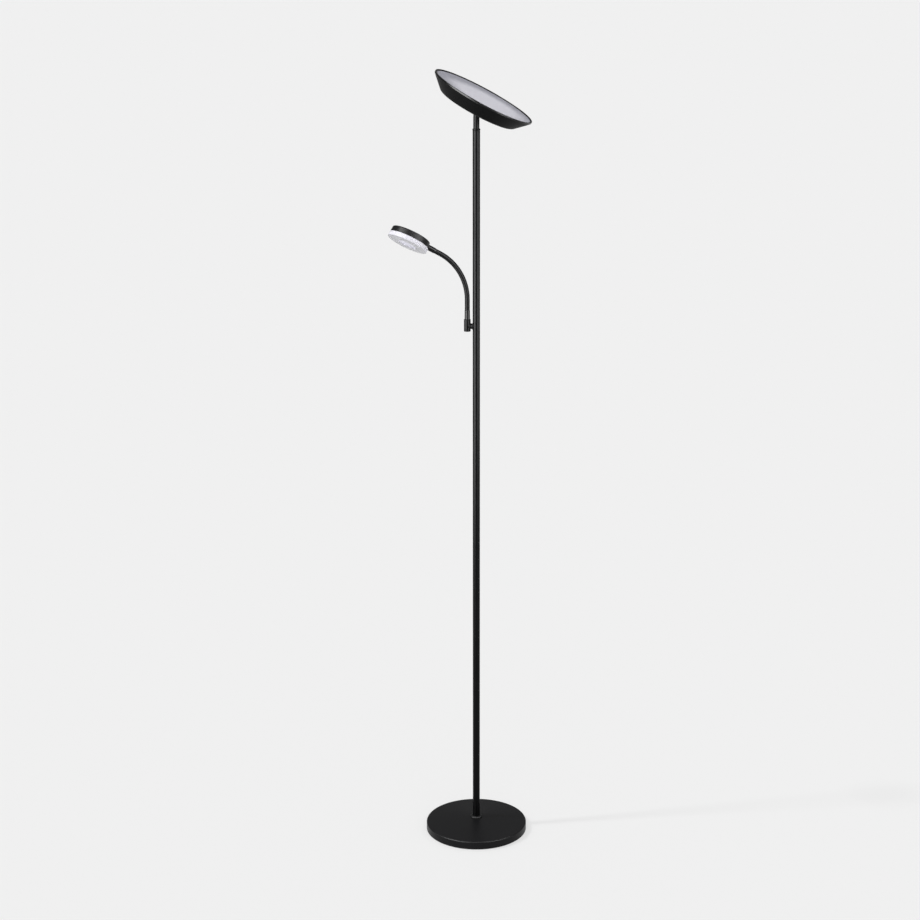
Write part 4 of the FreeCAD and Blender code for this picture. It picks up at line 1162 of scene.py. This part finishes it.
@dataclass
class ReadingLight:
    """The round reading light with its ferrule. Sizes in millimetres.

    Its frame has Z through its back and X away from the arm.
    """

    arm: ReadingArm
    roll: float = 12.6
    ferrule_length: float = 16.3
    ferrule_radius: float = 6.0
    ferrule_flare: float = 2.5
    ferrule_rim: float = 0.15
    ferrule_shoulder: float = 0.8
    cup_depth: float = 4.2
    saddle_depth: float = 2.2
    saddle_gap: float = 0.1
    spigot_radius: float = 3.0
    spigot_length: float = 6.4
    bore_radius: float = 1.4
    reach: float = 45.3
    face: float = -15.8
    border: float = -5.4
    back: float = 8.0
    border_radius: float = 44.2
    back_radius: float = 43.2
    back_round: float = 2.5
    back_facing: float = 0.9
    edge_round: float = 0.3
    inner_round: float = 1.0
    wall: float = 1.5
    cup_face_radius: float = 45.1
    cup_top_radius: float = 44.5
    cup_face_round: float = 1.8
    cup_side_wall: float = 2.1
    cup_face_wall: float = 1.8
    lip_height: float = 3.0
    lip_wall: float = 1.5
    lens_radius: float = 20.5
    lens_seat_round: float = 0.4
    lens_recess: float = 1.0
    lens_flange: float = 2.0
    lens_thickness: float = 1.2
    boss_circle: float = 26.0
    boss_radius: float = 3.0
    boss_bottom: float = -1.4
    boss_angles: Triple = (60.0, 180.0, 300.0)
    boss_segments: int = 24
    lens_segments: int = 96
    segments: int = 128

    @property
    def frame(self) -> Matrix:
        """The reading light's frame in the lamp's frame.

        Returns:
            The frame, with its origin in the middle of the housing.
        """
        pitch = math.radians(90 - self.arm.bend_angle)
        out = (self.ferrule_length + self.reach) * MM
        centre = self.arm.point(self.arm.length) + Vector((math.cos(pitch), 0, math.sin(pitch))) * out
        return (self.arm.frame @ Matrix.Translation(centre) @ Matrix.Rotation(-pitch, 4, "Y")
                @ Matrix.Rotation(math.radians(self.roll), 4, "X"))

    def inside(self, height: float) -> float:
        """Radius of the inside of the housing's wall at a height."""
        slope = math.atan2(self.border_radius - self.back_radius, self.back - self.border)
        return self.border_radius - (height - self.border) * math.tan(slope) - self.wall / math.cos(slope)

    def ferrule(self) -> Piece:
        """Make the upper ferrule.

        Returns:
            The piece.
        """
        start, seat = -self.reach - self.ferrule_length, -self.reach
        sleeve = self.arm.sleeve_radius
        cup_radius = sleeve - self.arm.wall
        cup_floor = start + self.cup_depth
        body = lathe(corners((cup_radius, start), (sleeve + self.ferrule_rim, start, self.ferrule_rim),
                             (self.ferrule_radius, start + self.ferrule_flare, self.ferrule_shoulder),
                             (self.ferrule_radius, seat + self.saddle_depth),
                             (self.bore_radius, seat + self.saddle_depth), (self.bore_radius, cup_floor),
                             (cup_radius, cup_floor)), self.segments // 2, arc_steps=4)
        to_side = Matrix.Rotation(math.pi / 2, 4, "Y")
        body.transform(to_side)
        gap = self.saddle_gap
        light = lathe(corners((0, self.face), (self.cup_face_radius + gap, self.face),
                              (self.cup_top_radius + gap, self.border),
                              (self.border_radius + gap, self.border),
                              (self.back_radius + gap, self.back), (0, self.back)), 2 * self.segments)
        body = combine(body, light, "DIFFERENCE")
        spigot = lathe(corners((self.bore_radius, seat - self.saddle_depth),
                               (self.spigot_radius, seat - self.saddle_depth),
                               (self.spigot_radius, seat + self.spigot_length),
                               (self.bore_radius, seat + self.spigot_length)), self.segments // 4)
        spigot.transform(to_side)
        return show(combine(body, spigot, "UNION"), "head_ferrule_skin", FERRULE_LACQUER,
                    ("head_ferrule",), self.frame)

    def housing(self) -> Piece:
        """Make the housing with its bosses.

        Returns:
            The piece.
        """
        ceiling = self.back - self.wall
        shape = lathe(corners((self.border_radius, self.border, self.edge_round),
                              (self.back_radius, self.back, self.back_round), (0, self.back), (0, ceiling),
                              (self.inside(ceiling), ceiling, self.inner_round),
                              (self.inside(self.border), self.border)), self.segments, arc_steps=6)
        depth = ceiling - self.boss_bottom
        for angle in self.boss_angles:
            turn = Matrix.Rotation(math.radians(angle), 4, "Z")
            middle = Vector((self.boss_circle, 0, (ceiling + self.boss_bottom) / 2)) * MM
            bmesh.ops.create_cone(shape, cap_ends=True, segments=self.boss_segments,
                                  radius1=self.boss_radius * MM, radius2=self.boss_radius * MM,
                                  depth=depth * MM, matrix=turn @ Matrix.Translation(middle))
        # The flat back takes the second finish.
        for face in shape.faces:
            face.normal_update()
            face.material_index = int(face.normal.z > self.back_facing)
        return show(shape, "reading_cap_skin", HOUSING_PLASTIC, ("reading_cap",), self.frame,
                    second=BACK_PLASTIC)

    def cup(self) -> Piece:
        """Make the opal cup.

        Returns:
            The piece.
        """
        lip_top = self.border + self.lip_height
        floor = self.face + self.cup_face_wall
        foot, top = self.inside(self.border), self.inside(lip_top)
        outline = corners((self.cup_top_radius, self.border, self.edge_round),
                          (self.cup_face_radius, self.face, self.cup_face_round),
                          (self.lens_radius, self.face, self.lens_seat_round), (self.lens_radius, floor),
                          (self.cup_face_radius - self.cup_side_wall, floor, self.inner_round),
                          (foot - self.lip_wall, self.border), (top - self.lip_wall, lip_top),
                          (top, lip_top), (foot, self.border))
        # Almost glowing white, over a face that painted shade makes a shade greyer.
        finish = OpalCup("Moulded opal acrylic", "opal_acrylic", "#f1f0f8", 0.36, specular=0.08,
                         other="#eeedf7", face_height=self.face,
                         wall_height=self.face + self.cup_face_round,
                         centre=tuple(self.frame.translation), turn=tuple(self.frame.to_euler()))
        return show(lathe(outline, self.segments, arc_steps=6), "reading_cup_skin", finish,
                    ("reading_diffuser",), self.frame)

    def lens(self) -> Piece:
        """Make the lens with its fine rings.

        Returns:
            The piece.
        """
        # Lilac white, brighter than the face round it, with hair-fine rings.
        finish = PrismAcrylic("Moulded prismatic acrylic", "clear_acrylic", "#dbdaec", 0.3,
                              centre=tuple(self.frame.translation), turn=tuple(self.frame.to_euler()))
        face = self.face + self.lens_recess
        floor = self.face + self.cup_face_wall
        flange = self.lens_radius + self.lens_flange
        top = floor + self.lens_thickness
        shape = lathe(corners((0, face), (self.lens_radius, face, self.edge_round),
                              (self.lens_radius, floor), (flange, floor), (flange, top), (0, top)),
                      self.lens_segments, arc_steps=3)
        return show(shape, "reading_lens_skin", finish, ("reading_lens",), self.frame)

    def build(self) -> list[Piece]:
        """Make and dress the reading light.

        Returns:
            Its pieces.
        """
        pieces = [self.ferrule(), self.housing(), self.cup(), self.lens()]
        for piece in pieces:
            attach(piece, "reading_light")
        return pieces + (dress_nodes(ZINC, "ferrule_nut", "reading_screws")
                         + dress_nodes(ALUMINIUM, "reading_plate") + dress_nodes(BOARD, "reading_board")
                         + dress_nodes(CHIP, "reading_chips"))


# The uplighter


@dataclass
class Uplighter:
    """The spun bowl with its trim ring and opal disc. Sizes in millimetres.

    Its frame has its origin on the hinge pin and Z through the rim's middle.
    """

    hinge_height: float = 1638.2
    tilt: float = 28.35
    rim_radius: float = 114.5
    rim_height: float = 34.7
    rim_land: float = 3.8
    rim_lip: float = 1.9
    rim_round: float = 0.9
    land_round: float = 2.0
    corner_radius: float = 85.8
    corner_height: float = 2.9
    corner_round: float = 14.3
    floor_radius: float = 26.0
    floor_round: float = 30.0
    floor_drop: float = 5.5
    wall: float = 1.0
    slot_half_length: float = 15.4
    slot_half_width: float = 9.5
    slot_depth: float = 12.0
    slot_round: float = 2.0
    trim_width: float = 3.2
    trim_thickness: float = 1.0
    trim_round: float = 0.1
    disc_thickness: float = 2.0
    disc_bottom_round: float = 0.2
    disc_top_round: float = 0.4
    disc_clearance: float = 0.1
    shade_middle_right: float = 14.0
    shade_middle_near: float = 22.0
    segments: int = 192

    @property
    def frame(self) -> Matrix:
        """The bowl's frame in the lamp's frame."""
        return (Matrix.Translation((0, 0, self.hinge_height * MM))
                @ Matrix.Rotation(math.radians(self.tilt), 4, "Y"))

    def outside(self) -> list[Corner]:
        """Outside of the bowl, from its axis to the rim's lip."""
        return corners((0, -self.floor_drop), (self.floor_radius, -self.floor_drop, self.floor_round),
                       (self.corner_radius, self.corner_height, self.corner_round),
                       (self.rim_radius, self.rim_height - self.rim_land, self.land_round),
                       (self.rim_radius, self.rim_height, self.rim_round),
                       (self.rim_radius - self.rim_lip, self.rim_height))

    def shell(self) -> Piece:
        """Make the bowl with the hinge's slot in its floor.

        Returns:
            The piece.
        """
        outside = self.outside()
        shape = lathe(outside + inner_wall(outside, self.wall)[::-1], self.segments, arc_steps=7)
        slot = bmesh.new()
        size = Vector((2 * self.slot_half_length, 2 * self.slot_half_width, self.slot_depth)) * MM
        bmesh.ops.create_cube(slot, size=1.0, matrix=Matrix.Translation((0, 0, -self.floor_drop * MM))
                              @ Matrix.Diagonal((*size, 1)))
        upright = [e for e in slot.edges if abs(e.verts[0].co.z - e.verts[1].co.z) > SAME_PLACE]
        bmesh.ops.bevel(slot, geom=upright, offset=self.slot_round * MM, offset_type="OFFSET", segments=5,
                        profile=0.5, affect="EDGES", material=-1)
        shape = combine(shape, slot, "DIFFERENCE")
        # The rolled edge takes the second finish.
        edge = (self.rim_height - self.rim_land) * MM
        for face in shape.faces:
            face.material_index = int(face.calc_center_median().z > edge)
        return show(shape, "bowl_shell_skin", BOWL_COAT, ("bowl_shell",), self.frame, second=EDGE_COAT)

    def trim(self) -> Piece:
        """Make the trim ring under the lip.

        Returns:
            The piece.
        """
        outer = self.rim_radius - self.wall
        top = self.rim_height - self.wall
        outline = tube_outline(outer, outer - self.trim_width, top - self.trim_thickness, top,
                               self.trim_round)
        return show(lathe(outline, self.segments, arc_steps=2), "trim_ring_skin", POWDER_COAT,
                    ("trim_ring",), self.frame)

    def disc(self) -> Piece:
        """Make the opal disc.

        Returns:
            The piece.
        """
        top = self.rim_height - self.wall - self.trim_thickness
        bottom = top - self.disc_thickness
        land = self.rim_height - self.rim_land
        slope = math.atan2(land - self.corner_height, self.rim_radius - self.corner_radius)
        edge = self.rim_radius - (land - bottom) / math.tan(slope) - self.wall / math.sin(slope)
        edge = min(edge, self.rim_radius - self.wall) - self.disc_clearance
        shape = lathe(corners((0, bottom), (edge, bottom, self.disc_bottom_round),
                              (edge, top, self.disc_top_round), (0, top)), self.segments, arc_steps=3)
        # Middle of the painted shade, moved right of and nearer than the disc's centre.
        middle = Vector((self.shade_middle_right, -self.shade_middle_near, top)) * MM
        # Lavender white in the middle, and greyer towards the rim by painted shade, most at the far and
        # left edges, where the rim shades it.
        finish = OpalSheet("Extruded opal acrylic sheet", "opal_acrylic", "#ecebf4", 0.32, other="#e5e4ee",
                           radius=edge, centre=tuple(self.frame @ middle))
        return show(shape, "bowl_diffuser_skin", finish, ("bowl_diffuser",), self.frame)

    def build(self) -> list[Piece]:
        """Make and dress the uplighter.

        Returns:
            Its pieces.
        """
        pieces = [self.shell(), self.trim(), self.disc()]
        for piece in pieces:
            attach(piece, "uplighter")
        return pieces + (dress_nodes(ALUMINIUM, "led_plate") + dress_nodes(BOARD, "led_board")
                         + dress_nodes(CHIP, "led_chips") + dress_nodes(DRIVER, "driver_box")
                         + dress_nodes(TERMINAL, "terminal_block")
                         + dress_nodes(NYLON, "friction_washers")
                         + dress_nodes(ZINC, "plate_standoffs", "plate_screws", "driver_screws",
                                       "bracket_rivets", "hinge_bolt", "hinge_nut", "hinge_bracket"))


# The studio


@dataclass(frozen=True)
class Panel:
    """A softbox's place, size and strength. Lengths in metres.

    Its bearing is from the camera's line, in degrees, and aim is the height of the point that it faces.
    """

    distance: float
    bearing: float
    height: float
    aim: float
    width: float
    length: float
    strength: float


class Softbox(Enum):
    """The softboxes round the lamp, which give the pole its streaks and the ferrules their glints."""

    LEFT = Panel(distance=1.8, bearing=-51.0, height=1.85, aim=1.85, width=1.6, length=3.1, strength=18.0)
    RIGHT = Panel(distance=1.9, bearing=53.0, height=1.6, aim=1.6, width=1.4, length=2.2, strength=12.5)
    TOP = Panel(distance=1.6, bearing=35.0, height=3.2, aim=1.3, width=1.2, length=1.2, strength=16.0)


@dataclass(frozen=True)
class FarLight:
    """A far light.

    Its bearing is where it shines to, from the frame's right towards its depth, its elevation how high it
    stands and its angle how wide it looks, all in degrees.
    """

    bearing: float
    elevation: float
    strength: float
    angle: float


@dataclass
class Studio:
    """The floor, the light and the camera. Lengths in metres."""

    bearing: float = 11.7
    distance: float = 3.841
    height: float = 1.864
    pitch: float = 14.35
    sensor_mm: float = 36.0
    clip_start: float = 0.1
    focal_px: float = 1800.0
    frame_px: float = 920.0
    pole_px: float = 476.35
    floor_colour: str = "#f0f0f0"
    floor_size: float = 24000.0
    floor_insets: tuple[float, float] = (11800.0, 190.0)
    floor_share: float = 0.34
    key: FarLight = FarLight(bearing=10.0, elevation=50.0, strength=1.1, angle=4.0)
    fill: FarLight = FarLight(bearing=95.0, elevation=15.0, strength=0.95, angle=50.0)
    sky_low: float = 0.13
    sky_high: float = 1.17
    sky_power: float = 2.0
    backdrop_rise: float = 0.1

    def camera(self) -> None:
        """Put the camera where the photograph was taken from."""
        data = bpy.data.cameras.new("camera")
        data.sensor_width = self.sensor_mm
        data.lens = self.focal_px / self.frame_px * self.sensor_mm
        data.shift_x = (self.frame_px / 2 - self.pole_px) / self.frame_px
        data.clip_start = self.clip_start
        data.clip_end = 2 * self.floor_size
        camera = put("camera", data)
        turn = math.radians(self.bearing)
        camera.location = (self.distance * math.sin(turn), -self.distance * math.cos(turn), self.height)
        camera.rotation_euler = (math.radians(90 - self.pitch), 0, turn)
        bpy.context.scene.camera = camera

    @staticmethod
    def seen(tree: Tree, mirrored: Socket | None = None) -> Socket:
        """Tell the rays that show the background from those that light the lamp.

        Args:
            tree: the node tree.
            mirrored: the share of the background that gloss shows, or None for all.

        Returns:
            A value that is 1 for rays that see it straight, mirrored or through glass, and 0 for the rest.
        """
        path = add_node(tree, "LightPath")
        gloss = path.outputs["Is Glossy Ray"]
        if mirrored:
            share = add_node(tree, "Math", {"operation": "MULTIPLY"}, {0: gloss, 1: mirrored})
            gloss = share.outputs["Value"]
        indirect = add_node(tree, "Math", {"operation": "MAXIMUM"},
                            {0: gloss, 1: path.outputs["Is Transmission Ray"]})
        return add_node(tree, "Math", {"operation": "MAXIMUM"},
                        {0: path.outputs["Is Camera Ray"], 1: indirect.outputs["Value"]}).outputs["Value"]

    def floor(self) -> None:
        """Lay a pale floor that reaches the horizon."""
        shape = bmesh.new()
        bmesh.ops.create_grid(shape, x_segments=1, y_segments=1, size=self.floor_size / 2)
        for inset in self.floor_insets:
            middle = min(shape.faces, key=lambda face: face.calc_center_median().length)
            bmesh.ops.inset_region(shape, faces=[middle], thickness=inset)
        mesh = bpy.data.meshes.new("floor")
        shape.to_mesh(mesh)
        shape.free()
        put("floor", mesh)
        material = bpy.data.materials.new("Painted studio floor, matt white")
        material.use_nodes = True
        tree = material.node_tree
        shader = tree.nodes["Principled BSDF"]
        shader.inputs["Roughness"].default_value = 1.0
        shader.inputs["Specular IOR Level"].default_value = 0.0
        shader.inputs["Emission Color"].default_value = linear(self.floor_colour)
        # What the camera and the gloss see is mostly the paper's own white, so shadows stay faint on it.
        seen = self.seen(tree)
        dimmed = [c * self.floor_share for c in linear(self.floor_colour)[:3]] + [1.0]
        lit = add_node(tree, "Mix", {"data_type": "RGBA", 6: linear(self.floor_colour), 7: dimmed},
                       {0: seen})
        glow = add_node(tree, "MapRange", {"To Max": 1 - self.floor_share}, {"Value": seen})
        tree.links.new(lit.outputs[2], shader.inputs["Base Color"])
        tree.links.new(glow.outputs["Result"], shader.inputs["Emission Strength"])
        mesh.materials.append(material)

    def sky(self) -> None:
        """Light the room evenly, brighter from above than from the sides, in front of a pale backdrop."""
        world = bpy.data.worlds.new("studio")
        world.use_nodes = True
        tree = world.node_tree
        background = tree.nodes["Background"]
        direction = add_node(tree, "TexCoord")
        parts = add_node(tree, "SeparateXYZ", links={"Vector": direction.outputs["Generated"]})
        above = add_node(tree, "Math", {"operation": "MAXIMUM", 1: 0.0}, {0: parts.outputs["Z"]})
        rise = add_node(tree, "Math", {"operation": "POWER", 1: self.sky_power},
                        {0: above.outputs["Value"]})
        level = add_node(tree, "MapRange", {"To Min": self.sky_low, "To Max": self.sky_high},
                         {"Value": rise.outputs["Value"]})
        # The backdrop meets the floor's white at the horizon. Gloss shows it low down only, and above that
        # the room.
        low = add_node(tree, "MapRange", {"From Max": self.backdrop_rise, "To Min": 1.0, "To Max": 0.0},
                       {"Value": above.outputs["Value"]})
        strength = add_node(tree, "Mix", {3: linear(self.floor_colour)[0]},
                            {0: self.seen(tree, low.outputs["Result"]), 2: level.outputs["Result"]})
        tree.links.new(strength.outputs[0], background.inputs["Strength"])
        background.inputs["Color"].default_value = (1.0, 1.0, 1.0, 1.0)
        bpy.context.scene.world = world

    def far_light(self, name: str, light: FarLight) -> bpy.types.Object:
        """Add a far, soft light.

        Args:
            name: its name.
            light: how it stands.

        Returns:
            The light's object.
        """
        data = bpy.data.lights.new(name, "SUN")
        data.energy = light.strength
        data.angle = math.radians(light.angle)
        made = put(name, data)
        turn, down = math.radians(light.bearing + self.bearing), math.radians(light.elevation)
        travel = Vector((math.cos(turn) * math.cos(down), math.sin(turn) * math.cos(down), -math.sin(down)))
        made.rotation_euler = travel.to_track_quat("-Z", "Y").to_euler()
        return made

    def softbox(self, box: Softbox) -> None:
        """Stand a softbox round the lamp, facing it. It shows in reflections only.

        Args:
            box: which one.
        """
        panel = box.value
        data = bpy.data.lights.new("softbox_" + box.name.lower(), "AREA")
        data.shape = "RECTANGLE"
        data.size, data.size_y = panel.width, panel.length
        data.energy = panel.strength * panel.width * panel.length * math.pi
        made = put(data.name, data)
        turn = math.radians(self.bearing + panel.bearing)
        made.location = (panel.distance * math.sin(turn), -panel.distance * math.cos(turn), panel.height)
        to_lamp = Vector((0, 0, panel.aim)) - made.location
        made.rotation_euler = to_lamp.to_track_quat("-Z", "Y").to_euler()
        made.visible_diffuse = False

    def build(self) -> None:
        """Set up the whole studio."""
        self.camera()
        self.floor()
        self.sky()
        self.far_light("key", self.key)
        self.far_light("fill", self.fill).visible_glossy = False
        for box in Softbox:
            self.softbox(box)
        bpy.context.scene.view_settings.view_transform = "Standard"


def main() -> None:
    """Build the lamp and its studio, and log each piece's faces and first material."""
    logging.basicConfig(level=logging.INFO, format="%(name)s %(message)s")
    Studio().build()
    arm = ReadingArm()
    for part in (WeightedBase(), Pole(), arm, ReadingLight(arm), Uplighter()):
        for piece in part.build():
            log.info("%s: %d faces, %s", piece.name, len(piece.data.polygons), piece.data.materials[0].name)
    bpy.context.view_layer.update()


if __name__ == "__main__":
    main()
